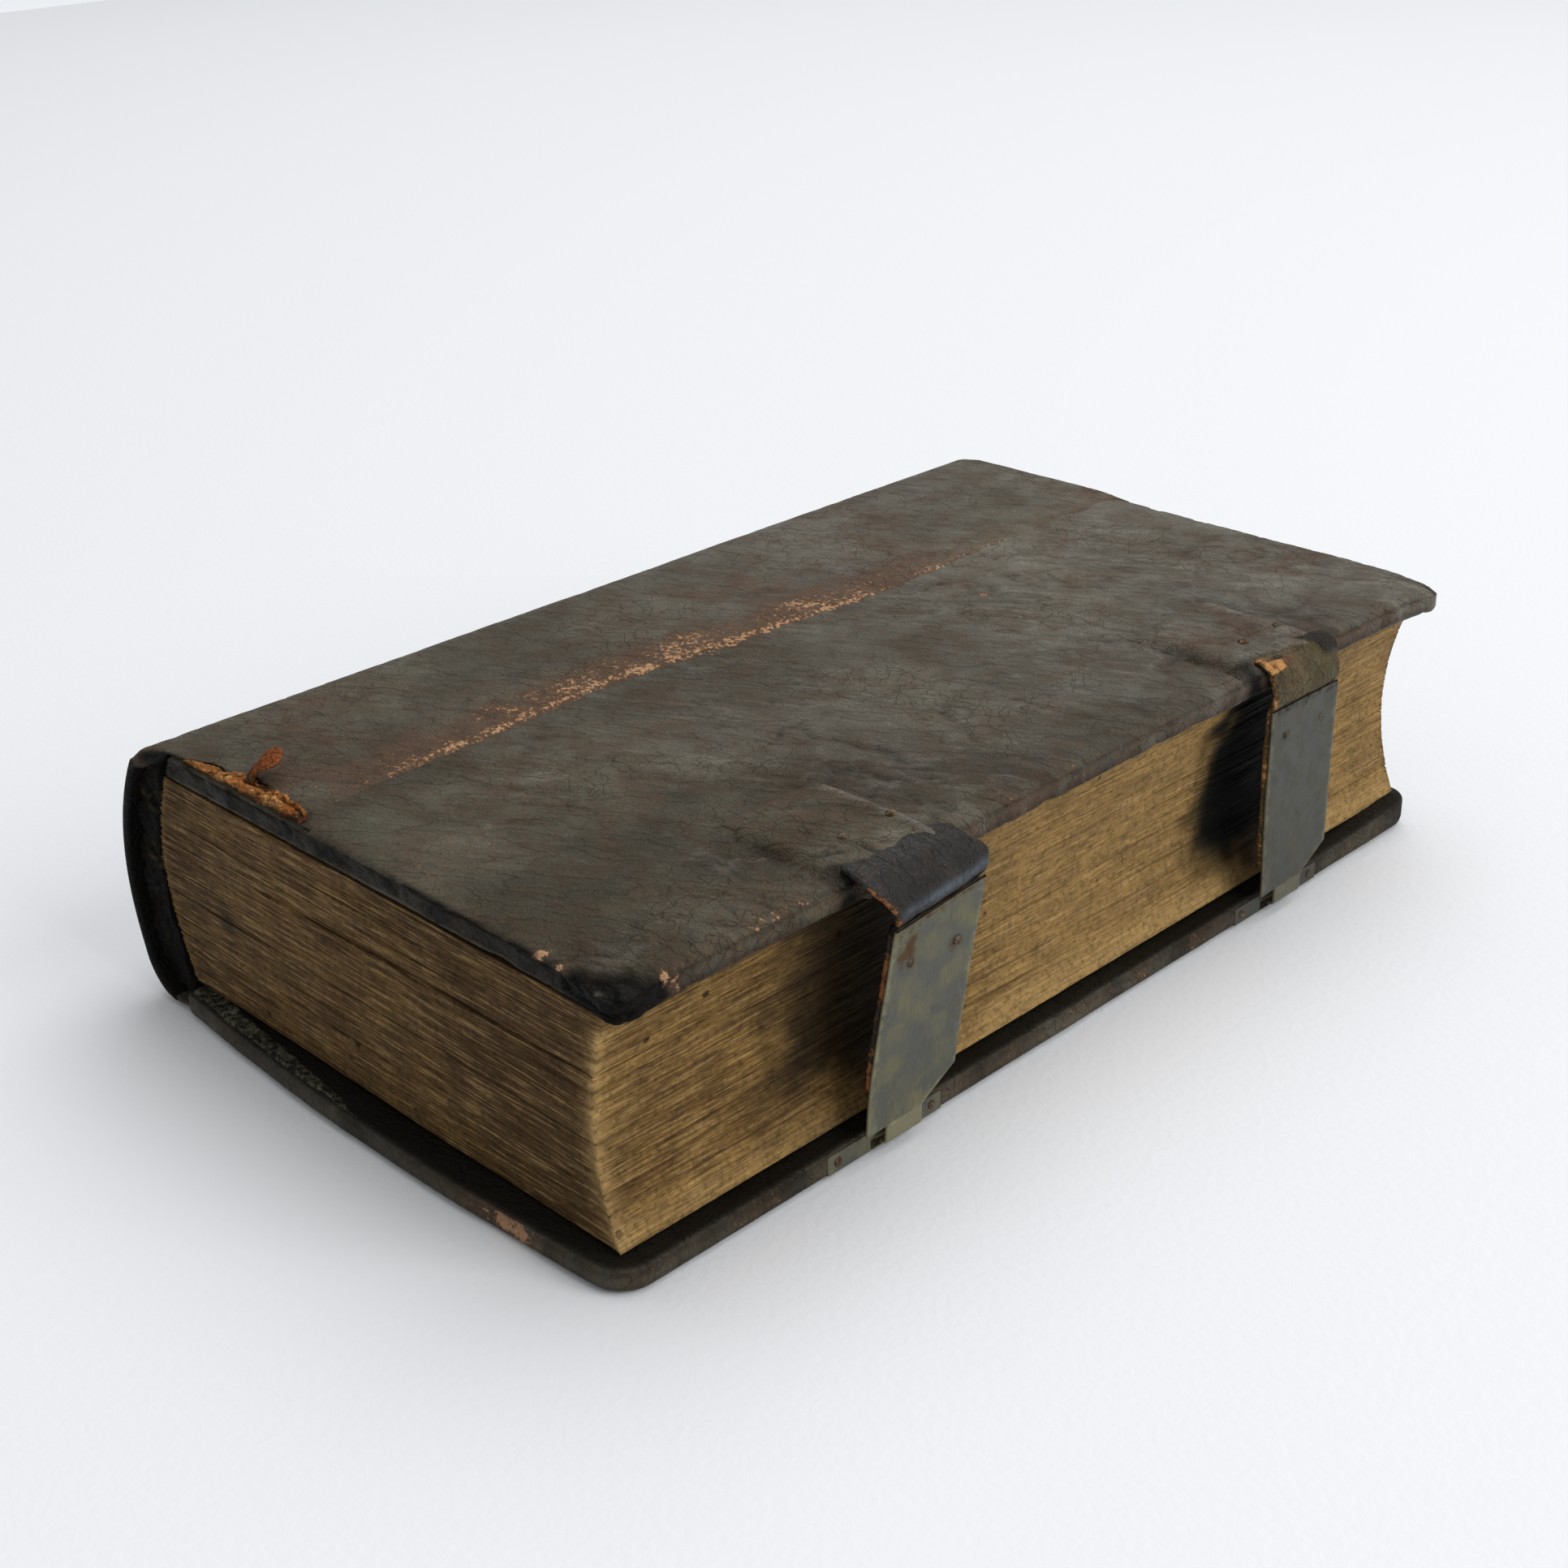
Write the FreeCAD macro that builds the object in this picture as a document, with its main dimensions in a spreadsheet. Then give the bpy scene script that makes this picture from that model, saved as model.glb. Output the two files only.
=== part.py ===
import FreeCAD, Part
import math
import os
import re
import Sketcher

# A small leather book of a clasped, round-backed kind, lying on its back cover, in millimetres.
# While it is built, x runs from the spine joint to the fore-edge, y from tail to head and z up
# from the surface it lies on. At the end every piece is shifted so that the box of the whole
# book is centred on x = 0 and y = 0.

sizes = (
    ("cover_width", 84.5, "leather-covered board, from the joint to the fore-edge"),
    ("cover_length", 150, "leather-covered board, tail to head"),
    ("cover_corner", 4, "corner radius of a covered board"),
    ("cover_slip", 2, "how far the front cover has slipped towards the head"),
    ("tail_bow", 2, "how far the tail edge of the back cover bows out"),
    ("board_thickness", 2.2, "bare board"),
    ("leather_thickness", 0.7, "covering leather on the boards"),
    ("turn_in", 9, "leather turned over the inside of a board"),
    ("pastedown_thickness", 0.3, "paper pasted inside each board"),
    ("joint_gap", 0.3, "from the joint line to each cover and to the spine leather"),
    ("cover_gap", 0.3, "between each cover and the text block"),
    ("fit", 0.1, "clearance between pieces laid inside one another"),
    ("text_thickness", 28.6, "all leaves together"),
    ("text_length", 146.2, "leaf, tail to head"),
    ("tail_square", 2.2, "back cover standing out beyond the leaves at the tail"),
    ("fore_square", 2.6, "covers standing out beyond the leaves at the fore-edge"),
    ("text_back", 0.8, "leaves reaching past the joint line at their two corners"),
    ("text_round", 3.5, "rounding of the folded backs of the leaves"),
    ("fore_hollow", 3, "hollow of the fore-edge"),
    ("spine_leather_thickness", 1.4, "leather round the spine, turned in double"),
    ("spine_start", 0.2, "spine leather, from the tail edge of the back cover"),
    ("spine_length", 151, "spine leather, tail to head"),
    ("shoulder_reach", 5.8, "top shoulder of the spine, outward from the joint line"),
    ("shoulder_drop", 3.4, "top shoulder of the spine, below the top"),
    ("shoulder_round", 0.9, "bulge of the leather over the shoulder"),
    ("heel_reach", 9.4, "heel of the spine, outward from the joint line"),
    ("heel_rise", 6.5, "heel of the spine, above the table"),
    ("heel_round", 1.1, "bulge of the leather round the heel"),
    ("back_round", 2.9, "bulge of the back between shoulder and heel"),
    ("sole_reach", 4.7, "lowest point of the spine, outward from the joint line"),
    ("sole_rise", 0.5, "lowest point of the spine, above the table"),
    ("sole_lift", 0.6, "rise of the leather from the sole to the joint"),
    ("lining_recess", 1.1, "lining set back from each end of the spine leather"),
    ("overlay_width", 26.2, "strip of the spine leather laid over the front cover"),
    ("overlay_thickness", 0.4, "that strip, pared thin"),
    ("overlay_inset", 0.8, "strip set back from the edges of the cover"),
    ("tear_start", 8, "torn place at the tail of the strip, from the joint line"),
    ("tear_end", 21, "far end of the torn place"),
    ("tear_depth", 2.8, "torn place, in from the tail end of the strip"),
    ("tongue_height", 2.4, "curled tongue of torn leather"),
    ("tongue_reach", 2.6, "tongue, from its foot to its tip"),
    ("tongue_thickness", 0.5, "tongue"),
    ("strap_width", 14.6, "clasp strap and clasp plate"),
    ("strap_thickness", 0.8, "clasp strap"),
    ("strap_anchor", 20, "strap under the cover leather, in from the fore-edge"),
    ("bulge_margin", 0.6, "raised leather beyond the strap on each side"),
    ("bulge_corner", 3.5, "corner radius of the raised leather"),
    ("bulge_slope", 0.6, "sloping rim of the raised leather"),
    ("strap_short", 3.8, "free end of the strap, above the lower edge of its plate"),
    ("strap_swing", 0.15, "between the fold of the strap and its anchored end"),
    ("clasp_1_inset", 43.4, "first clasp at its fold, from the tail of the back cover"),
    ("clasp_2_inset", 32.7, "second clasp at its fold, from the head of the back cover"),
    ("clasp_1_lean", 3, "degrees by which the first clasp hangs towards the tail"),
    ("clasp_2_lean", 0.6, "the same of the second clasp"),
    ("clasp_gap", 0.3, "between the fore-edge of the covers and a hanging strap"),
    ("plate_thickness", 0.45, "metal of a clasp plate"),
    ("plate_1_drop", 7.5, "upper edge of the first clasp plate, below the fold of its strap"),
    ("plate_2_drop", 5.6, "upper edge of the second clasp plate, below the fold"),
    ("hook_width", 6, "hook"),
    ("hook_length", 3, "hook, below the lower edge of its plate"),
    ("hook_drop", 0.4, "hook, below the middle of its catch plate"),
    ("hook_offset", 0.9, "hook, off the middle of the plate towards the tail"),
    ("hook_gap", 0.25, "between the tip of the hook and its catch plate"),
    ("shoulder_cut", 3, "height cut from the head-side shoulder of a clasp plate"),
    ("catch_length", 18.6, "catch plate on the edge of the back cover"),
    ("catch_thickness", 0.6, "metal of a catch plate"),
    ("catch_height", 2.4, "catch plate"),
    ("catch_proud", 0.05, "catch plate standing out of its recess"),
    ("slot_height", 1.3, "slot in a catch plate"),
    ("slot_margin", 1, "slot beyond the hook at each end"),
    ("catch_1_slip", 1.5, "middle of the first catch plate, off its hook towards the tail"),
    ("catch_2_slip", 0.4, "the same of the second"),
    ("rivet_width", 1, "shank of a rivet or nail"),
    ("rivet_head", 2, "head of a rivet or nail"),
    ("rivet_dome", 0.35, "height of a head"),
    ("rivet_drop", 4, "rivets below the upper edge of a clasp plate"),
    ("rivet_pitch", 7.6, "between the two rivets of a clasp"),
    ("nail_inset", 6, "strap nails, in from the fore-edge"),
    ("nail_depth", 1.2, "strap nail in the board"),
    ("catch_nail_inset", 1.6, "catch nails, in from the ends of a catch plate"),
)

doc = FreeCAD.newDocument("ClaspedBook")
sheet = doc.addObject("Spreadsheet::Sheet", "Sizes")
for row, (alias, number, note) in enumerate(sizes, start=1):
    sheet.set("A%d" % row, note)
    sheet.set("B%d" % row, str(number))
    sheet.setAlias("B%d" % row, alias)
doc.recompute()

# Lengths that follow from the driving sizes, written out as formulas.
derived = {
    "cover_thickness": "(board_thickness + 2 * leather_thickness)",
    "text_foot": "(cover_thickness + cover_gap)",
    "text_top": "(text_foot + text_thickness)",
    "front_foot": "(text_top + cover_gap)",
    "book_top": "(front_foot + cover_thickness)",
    "fore_edge": "(joint_gap + cover_width)",
    "text_fore": "(fore_edge - fore_square)",
    "strap_level": "(book_top - leather_thickness)",
    "bulge_top": "(book_top + strap_thickness)",
    "hinge_x": "(fore_edge + clasp_gap + strap_thickness / 2)",
    "hinge_z": "(strap_level + strap_thickness / 2)",
    "catch_level": "(cover_thickness / 2 - hook_drop)",
    "hook_foot": "(catch_level - plate_thickness / 2)",
    "plate_foot": "(hook_foot + hook_length)",
    "clasp_1_centre": "clasp_1_inset",
    "clasp_2_centre": "(cover_length - clasp_2_inset)",
    "catch_face": "(fore_edge + catch_proud)",
    "lining_inset": "(spine_leather_thickness + fit)",
}
aliases = {alias for alias, number, note in sizes}


def bound(formula):
    """The formula with derived lengths written out and every size named as a cell."""
    def cell(word):
        name = word.group()
        if name in derived:
            return bound(derived[name])
        return "Sizes." + name if name in aliases else name
    return re.sub(r"[a-z]\w*", cell, str(formula))


def size(formula):
    """The present value of a formula."""
    return float(sheet.evalExpression(bound(formula)))


def newBody(label):
    body = doc.addObject("PartDesign::Body", label)
    body.Label = label
    return body


def addSketch(body, plane, start):
    """An empty sketch on an origin plane of the body, moved along the plane's axis to start."""
    sketch = body.newObject("Sketcher::SketchObject", "Sketch")
    origin = [f for f in body.Origin.OriginFeatures if f.Role == plane][0]
    sketch.AttachmentSupport = [(origin, "")]
    sketch.MapMode = "FlatFace"
    sign = "-" if plane == "XZ_Plane" else ""
    sketch.setExpression("AttachmentOffset.Base.z", bound("%s(%s)" % (sign, start)))
    return sketch


def drawOutline(sketch, corners):
    """A closed outline, drawn anticlockwise. Each corner is (across, up, bulge of the edge to the
    next one), and a positive bulge is an arc that swells outward."""
    points = [FreeCAD.Vector(size(across), size(up), 0) for across, up, bulge in corners]
    ends = []
    for index, (across, up, bulge) in enumerate(corners):
        here, there = points[index], points[(index + 1) % len(points)]
        if bulge:
            along = (there - here).normalize()
            middle = (here + there) / 2 + FreeCAD.Vector(along.y, -along.x, 0) * size(bulge)
            forward = size(bulge) > 0
            curve = Part.Arc(here, middle, there) if forward else Part.Arc(there, middle, here)
            sketch.addGeometry(curve, False)
            ends.append((1, 2) if forward else (2, 1))
        else:
            sketch.addGeometry(Part.LineSegment(here, there), False)
            ends.append((1, 2))
    for index, (across, up, bulge) in enumerate(corners):
        following = (index + 1) % len(corners)
        joined = (index, ends[index][1], following, ends[following][0])
        sketch.addConstraint(Sketcher.Constraint("Coincident", *joined))
    for index, (across, up, bulge) in enumerate(corners):
        for kind, formula in (("DistanceX", across), ("DistanceY", up)):
            measured = (-1, 1, index, ends[index][0], size(formula))
            number = sketch.addConstraint(Sketcher.Constraint(kind, *measured))
            sketch.setExpression("Constraints[%d]" % number, bound(formula))
        if bulge:
            across2, up2, bulge2 = corners[(index + 1) % len(corners)]
            chord = "((%s) - (%s)) ^ 2 + ((%s) - (%s)) ^ 2" % (across2, across, up2, up)
            radius = "(%s) / (8 * abs(%s)) + abs(%s) / 2" % (chord, bulge, bulge)
            number = sketch.addConstraint(Sketcher.Constraint("Radius", index, size(radius)))
            sketch.setExpression("Constraints[%d]" % number, bound(radius))


def drawCircles(sketch, centres, diameter):
    for index, (across, up) in enumerate(centres):
        centre = FreeCAD.Vector(size(across), size(up), 0)
        sketch.addGeometry(Part.Circle(centre, FreeCAD.Vector(0, 0, 1), size(diameter) / 2), False)
        for kind, formula in (("DistanceX", across), ("DistanceY", up)):
            number = sketch.addConstraint(Sketcher.Constraint(kind, -1, 1, index, 3, size(formula)))
            sketch.setExpression("Constraints[%d]" % number, bound(formula))
        number = sketch.addConstraint(Sketcher.Constraint("Diameter", index, size(diameter)))
        sketch.setExpression("Constraints[%d]" % number, bound(diameter))


def addFeature(body, kind, sketch, plane, length):
    """A pad or pocket that runs from the sketch towards larger coordinates."""
    before = body.Shape.Volume if kind == "Pocket" else 0
    feature = body.newObject("PartDesign::" + kind, kind)
    feature.Profile = sketch
    feature.setExpression("Length", bound(length))
    feature.Reversed = (plane == "XZ_Plane") == (kind == "Pad")
    doc.recompute()
    if kind == "Pocket" and not feature.Shape.Volume < before - 1e-4:
        raise RuntimeError(body.Label + ": a pocket cuts nothing")
    return feature


def pad(body, plane, corners, start, length):
    sketch = addSketch(body, plane, start)
    drawOutline(sketch, corners)
    return addFeature(body, "Pad", sketch, plane, length)


def pocket(body, plane, corners, start, length):
    sketch = addSketch(body, plane, start)
    drawOutline(sketch, corners)
    return addFeature(body, "Pocket", sketch, plane, length)


def discs(body, plane, centres, diameter, start, length, kind="Pad"):
    sketch = addSketch(body, plane, start)
    drawCircles(sketch, centres, diameter)
    return addFeature(body, kind, sketch, plane, length)


def rectangle(left, right, low, high):
    return [(left, low, None), (right, low, None), (right, high, None), (left, high, None)]


def roundedRectangle(left, right, low, high, radius, bow=None):
    """A rectangle with round corners, whose low edge may bow out."""
    swell = "(%s) * %r" % (radius, 1 - math.sqrt(0.5))
    return [
        ("(%s) + (%s)" % (left, radius), low, bow),
        ("(%s) - (%s)" % (right, radius), low, swell),
        (right, "(%s) + (%s)" % (low, radius), None),
        (right, "(%s) - (%s)" % (high, radius), swell),
        ("(%s) - (%s)" % (right, radius), high, None),
        ("(%s) + (%s)" % (left, radius), high, swell),
        (left, "(%s) - (%s)" % (high, radius), None),
        (left, "(%s) + (%s)" % (low, radius), swell),
    ]


def slopeEdges(body, base, level, width):
    """Slopes off the edges of the base that lie at one height."""
    height = size(level)
    names = []
    for number, edge in enumerate(base.Shape.Edges, start=1):
        box = edge.BoundBox
        if abs(box.ZMin - height) < 1e-4 and abs(box.ZMax - height) < 1e-4:
            names.append("Edge%d" % number)
    chamfer = body.newObject("PartDesign::Chamfer", "Chamfer")
    chamfer.Base = (base, names)
    chamfer.setExpression("Size", bound(width))
    doc.recompute()
    return chamfer


def coverOutline(inset, slip, bow):
    return roundedRectangle(
        "joint_gap + (%s)" % inset,
        "fore_edge - (%s)" % inset,
        "(%s) + (%s)" % (slip, inset),
        "(%s) + cover_length - (%s)" % (slip, inset),
        "cover_corner - (%s)" % inset,
        bow,
    )


def strapCentre(number):
    return "clasp_%d_centre" % number


def nailPlaces(number):
    """The two nails of a strap, seen from above."""
    return [
        ("fore_edge - nail_inset", "%s %s rivet_pitch / 2" % (strapCentre(number), sign))
        for sign in "-+"
    ]


def makeBoard(label, foot, slip, bow):
    body = newBody(label)
    pad(body, "XY_Plane", coverOutline("leather_thickness", slip, bow), foot, "board_thickness")
    return body


def makeCoverLeather(label, foot, slip, bow, window):
    """Leather over a board: a closed skin with a cavity for the board and, on the side that
    faces the leaves, a window between the turned-in edges."""
    body = newBody(label)
    pad(body, "XY_Plane", coverOutline("0", slip, bow), foot, "cover_thickness")
    cavity = "(%s) + leather_thickness" % foot
    pocket(body, "XY_Plane", coverOutline("leather_thickness", slip, bow), cavity, "board_thickness")
    opening = rectangle(
        "joint_gap + turn_in",
        "fore_edge - turn_in",
        "(%s) + turn_in" % slip,
        "(%s) + cover_length - turn_in" % slip,
    )
    pocket(body, "XY_Plane", opening, window, "leather_thickness")
    return body


def makePastedown(label, foot, slip):
    body = newBody(label)
    sheetOutline = rectangle(
        "joint_gap + turn_in + fit",
        "fore_edge - turn_in - fit",
        "(%s) + turn_in + fit" % slip,
        "(%s) + cover_length - turn_in - fit" % slip,
    )
    pad(body, "XY_Plane", sheetOutline, foot, "pastedown_thickness")
    return body


def makeBackCover():
    """The board that the book lies on, with its leather, pastedown and two catch plates."""
    board = makeBoard("back_board", "leather_thickness", "0", "tail_bow")
    leather = makeCoverLeather("back_leather", "0", "0", "tail_bow", "cover_thickness - leather_thickness")
    pieces = [board, leather]
    pieces.append(makePastedown("back_pastedown", "leather_thickness + board_thickness", "0"))
    for number in (1, 2):
        hook = hookPlace(number)
        middle = "(%s - catch_%d_slip)" % (hook, number)
        face = (
            "%s - catch_length / 2" % middle,
            "%s + catch_length / 2" % middle,
            "cover_thickness / 2 - catch_height / 2",
            "cover_thickness / 2 + catch_height / 2",
        )
        recess = "catch_face - catch_thickness"
        pocket(leather, "YZ_Plane", rectangle(*face), recess, "catch_thickness")
        plate = newBody("catch_plate_%d" % number)
        pad(plate, "YZ_Plane", rectangle(*face), recess, "catch_thickness")
        slot = rectangle(
            "%s - hook_width / 2 - slot_margin" % hook,
            "%s + hook_width / 2 + slot_margin" % hook,
            "catch_level - slot_height / 2",
            "catch_level + slot_height / 2",
        )
        pocket(plate, "YZ_Plane", slot, recess, "catch_thickness")
        pieces.append(plate)
        for letter, sign in (("a", "-"), ("b", "+")):
            centre = ("%s %s (catch_length / 2 - catch_nail_inset)" % (middle, sign), "cover_thickness / 2")
            discs(plate, "YZ_Plane", [centre], "rivet_width", recess, "catch_thickness", "Pocket")
            nail = newBody("catch_%d_nail_%s" % (number, letter))
            shank = "rivet_width - fit"
            discs(nail, "YZ_Plane", [centre], shank, recess, "catch_thickness")
            discs(nail, "YZ_Plane", [centre], "rivet_head - rivet_width / 2", "catch_face", "rivet_dome / 2")
            pieces.append(nail)
    return pieces


def hookPlace(number):
    """Where the hook of a hanging clasp comes along the fore-edge: the clasp leans from its
    hinge, and the hook sits off the middle of its plate."""
    lean = "clasp_%d_lean" % number
    drop = "(hinge_z - catch_level)"
    return "(%s - %s * tan(%s * 1 deg) - hook_offset)" % (strapCentre(number), drop, lean)


def makeTextBlock():
    """All leaves as one solid, with a round back and a hollow fore-edge."""
    body = newBody("text_block")
    leaves = [
        ("-text_back", "text_foot", None),
        ("text_fore", "text_foot", "-fore_hollow"),
        ("text_fore", "text_top", None),
        ("-text_back", "text_top", "text_round"),
    ]
    pad(body, "XZ_Plane", leaves, "tail_square", "text_length")
    return body


def makeSpineLeather():
    """Leather round the back, from the front joint over the shoulder and down to the rear joint."""
    body = newBody("spine_leather")
    thick = "spine_leather_thickness"
    corners = [
        ("-joint_gap", "book_top", "shoulder_round"),
        ("-shoulder_reach", "book_top - shoulder_drop", "back_round"),
        ("-heel_reach", "heel_rise", "heel_round"),
        ("-sole_reach", "sole_rise", None),
        ("-joint_gap", "sole_rise + sole_lift", None),
        ("-joint_gap", "sole_rise + sole_lift + %s" % thick, None),
        ("-sole_reach + 0.35 * %s" % thick, "sole_rise + 0.97 * %s" % thick, "-heel_round * 0.8"),
        ("-heel_reach + 0.95 * %s" % thick, "heel_rise + 0.4 * %s" % thick, "-back_round * 0.93"),
        (
            "-shoulder_reach + 0.8 * %s" % thick,
            "book_top - shoulder_drop - 0.6 * %s" % thick,
            "-shoulder_round * 0.7",
        ),
        ("-joint_gap", "book_top - %s" % thick, None),
    ]
    pad(body, "XZ_Plane", corners, "spine_start", "spine_length")
    return body


def makeSpineLining():
    """Glued layers that fill the back between the leaves and the spine leather."""
    body = newBody("spine_lining")
    inset = "lining_inset"
    corners = [
        ("-text_back - fit", "text_top", "back_round * 0.1"),
        ("-shoulder_reach + %s" % inset, "text_top - fit", "back_round * 0.8"),
        ("-heel_reach + %s" % inset, "heel_rise + 0.4 * %s" % inset, None),
        ("-heel_reach + 1.8 * %s" % inset, "text_foot", None),
        ("-text_back - fit", "text_foot", "-text_round"),
    ]
    length = "spine_length - 2 * lining_recess"
    pad(body, "XZ_Plane", corners, "spine_start + lining_recess", length)
    return body


def makeFrontCover():
    """The upper board with its leather, the strip laid over it and the anchored strap ends."""
    slip = "cover_slip"
    board = makeBoard("front_board", "front_foot + leather_thickness", slip, None)
    leather = makeCoverLeather("front_leather", "front_foot", slip, None, "front_foot")
    pastedown = makePastedown(
        "front_pastedown", "front_foot + leather_thickness - pastedown_thickness", slip
    )
    pieces = [board, leather, pastedown]
    for number in (1, 2):
        pieces += anchorStrap(number, board, leather)
    pieces.append(makeOverlay(slip))
    pieces.append(makeTongue(slip))
    return pieces


def anchorStrap(number, board, leather):
    """The end of a strap under the raised cover leather, held by two nails."""
    centre = strapCentre(number)
    half = "(strap_width / 2)"
    raised = roundedRectangle(
        "fore_edge - strap_anchor - bulge_margin",
        "fore_edge",
        "%s - %s - bulge_margin" % (centre, half),
        "%s + %s + bulge_margin" % (centre, half),
        "bulge_corner",
    )
    raised = [corner for corner in raised if corner[0] != "fore_edge"]
    raised = raised[:1] + [("fore_edge", raised[0][1], None), ("fore_edge", raised[2][1], None)] + raised[2:]
    mound = pad(leather, "XY_Plane", raised, "strap_level", "strap_thickness + leather_thickness")
    slopeEdges(leather, mound, "bulge_top", "bulge_slope")
    channel = rectangle(
        "fore_edge - strap_anchor",
        "fore_edge + leather_thickness",
        "%s - %s - fit" % (centre, half),
        "%s + %s + fit" % (centre, half),
    )
    pocket(leather, "XY_Plane", channel, "strap_level", "strap_thickness")
    anchor = newBody("strap_%d_anchor" % number)
    end = rectangle(
        "fore_edge - strap_anchor + fit",
        "hinge_x - strap_thickness / 2 - strap_swing",
        "%s - %s" % (centre, half),
        "%s + %s" % (centre, half),
    )
    pad(anchor, "XY_Plane", end, "strap_level", "strap_thickness")
    holes = nailPlaces(number)
    depth = "bulge_top - strap_level + leather_thickness"
    discs(leather, "XY_Plane", holes, "rivet_width", "strap_level", depth, "Pocket")
    discs(anchor, "XY_Plane", holes, "rivet_width", "strap_level", "strap_thickness", "Pocket")
    discs(board, "XY_Plane", holes, "rivet_width", "strap_level - nail_depth", "nail_depth", "Pocket")
    pieces = [anchor]
    for letter, place in zip("ab", holes):
        nail = newBody("strap_%d_nail_%s" % (number, letter))
        shank = "bulge_top - strap_level + nail_depth"
        discs(nail, "XY_Plane", [place], "rivet_width - fit", "strap_level - nail_depth", shank)
        discs(nail, "XY_Plane", [place], "rivet_head", "bulge_top", "rivet_dome")
        pieces.append(nail)
    return pieces


def makeOverlay(slip):
    """The pared edge of the spine leather, laid over the cover and torn at its tail."""
    body = newBody("front_overlay")
    low = "%s + overlay_inset" % slip
    high = "%s + cover_length - overlay_inset" % slip
    corners = [
        ("joint_gap + overlay_inset", low, None),
        ("tear_start", low, None),
        ("tear_start + tear_depth", "%s + tear_depth" % low, None),
        ("tear_end - tear_depth", "%s + tear_depth" % low, None),
        ("tear_end", low, None),
        ("overlay_width", low, None),
        ("overlay_width", high, None),
        ("joint_gap + overlay_inset", high, None),
    ]
    pad(body, "XY_Plane", corners, "book_top", "overlay_thickness")
    return body


def makeTongue(slip):
    """A torn tongue of leather that curls up from the middle of the torn place."""
    body = newBody("torn_tongue")
    foot = "((tear_start + tear_end) / 2)"
    curl = "tongue_reach * 0.2"
    corners = [
        (foot, "book_top", None),
        ("%s + tongue_thickness" % foot, "book_top", curl),
        ("%s + tongue_reach" % foot, "book_top + tongue_height - tongue_thickness", None),
        ("%s + tongue_reach" % foot, "book_top + tongue_height", "-%s" % curl),
    ]
    pad(body, "XZ_Plane", corners, "%s + overlay_inset + fit" % slip, "tear_depth - 2 * fit")
    return body


def makeClasp(number):
    """A strap that hangs over the fore-edge with its hooked plate and two rivets. It is drawn
    about its hinge line, with y = 0 in the middle of the strap, and then hung in its place."""
    back = "-strap_thickness / 2"
    face = "strap_thickness / 2"
    left, right = "-strap_width / 2", "strap_width / 2"
    top = "-plate_%d_drop" % number
    strap = newBody("strap_%d" % number)
    hang = rectangle(left, right, "plate_foot + strap_short - hinge_z", "0")
    pad(strap, "YZ_Plane", hang, back, "strap_thickness")
    sketch = addSketch(strap, "XZ_Plane", left)
    drawCircles(sketch, [("0", "0")], "strap_thickness")
    addFeature(strap, "Pad", sketch, "XZ_Plane", "strap_width")
    plate = newBody("clasp_plate_%d" % number)
    middle = "-hook_offset"
    foot = "plate_foot - hinge_z"
    outline = [
        (left, foot, None),
        ("%s - hook_width / 2" % middle, foot, None),
        ("%s - hook_width / 2" % middle, "hook_foot - hinge_z", None),
        ("%s + hook_width / 2" % middle, "hook_foot - hinge_z", None),
        ("%s + hook_width / 2" % middle, foot, None),
        (right, "%s + shoulder_cut" % foot, None),
        (right, top, None),
        (left, top, None),
    ]
    pad(plate, "YZ_Plane", outline, face, "plate_thickness")
    lip = rectangle(
        "%s - hook_width / 2" % middle,
        "%s + hook_width / 2" % middle,
        "hook_foot - hinge_z",
        "hook_foot - hinge_z + plate_thickness",
    )
    tip = "catch_face + hook_gap - hinge_x"
    pad(plate, "YZ_Plane", lip, tip, "%s - (%s) + plate_thickness" % (face, tip))
    level = "%s - rivet_drop" % top
    holes = [("-rivet_pitch / 2", level), ("rivet_pitch / 2", level)]
    through = "strap_thickness + plate_thickness"
    discs(strap, "YZ_Plane", holes, "rivet_width", back, "strap_thickness", "Pocket")
    discs(plate, "YZ_Plane", holes, "rivet_width", face, "plate_thickness", "Pocket")
    pieces = [strap, plate]
    for letter, hole in zip("ab", holes):
        rivet = newBody("clasp_%d_rivet_%s" % (number, letter))
        discs(rivet, "YZ_Plane", [hole], "rivet_width - fit", back, through)
        discs(rivet, "YZ_Plane", [hole], "rivet_head", "%s + plate_thickness" % face, "rivet_dome")
        pieces.append(rivet)
    hinge = FreeCAD.Vector(size("hinge_x"), size(strapCentre(number)), size("hinge_z"))
    lean = FreeCAD.Rotation(FreeCAD.Vector(1, 0, 0), -size("clasp_%d_lean" % number))
    for piece in pieces:
        piece.Placement = FreeCAD.Placement(hinge, lean)
    return pieces


def centrePieces(pieces):
    """Shifts the whole book so that its box is centred over the origin."""
    doc.recompute()
    box = FreeCAD.BoundBox()
    for piece in pieces:
        box.add(piece.Shape.optimalBoundingBox())
    shift = FreeCAD.Vector(-box.Center.x, -box.Center.y, 0)
    for piece in pieces:
        piece.Placement = FreeCAD.Placement(shift, FreeCAD.Rotation()) * piece.Placement
    return shift


def writePieces(pieces):
    """Checks every object of the document, then writes one file for each piece."""
    doc.recompute()
    for item in doc.Objects:
        if "Invalid" in item.State or "Error" in item.State:
            raise RuntimeError(item.Label + " was not built")
    for piece in pieces:
        if piece.Shape.isNull() or not piece.Shape.isValid():
            raise RuntimeError(piece.Label + " has no sound shape")
    os.makedirs("parts", exist_ok=True)
    for piece in pieces:
        piece.Shape.exportStep("parts/%s.step" % piece.Label)


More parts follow.
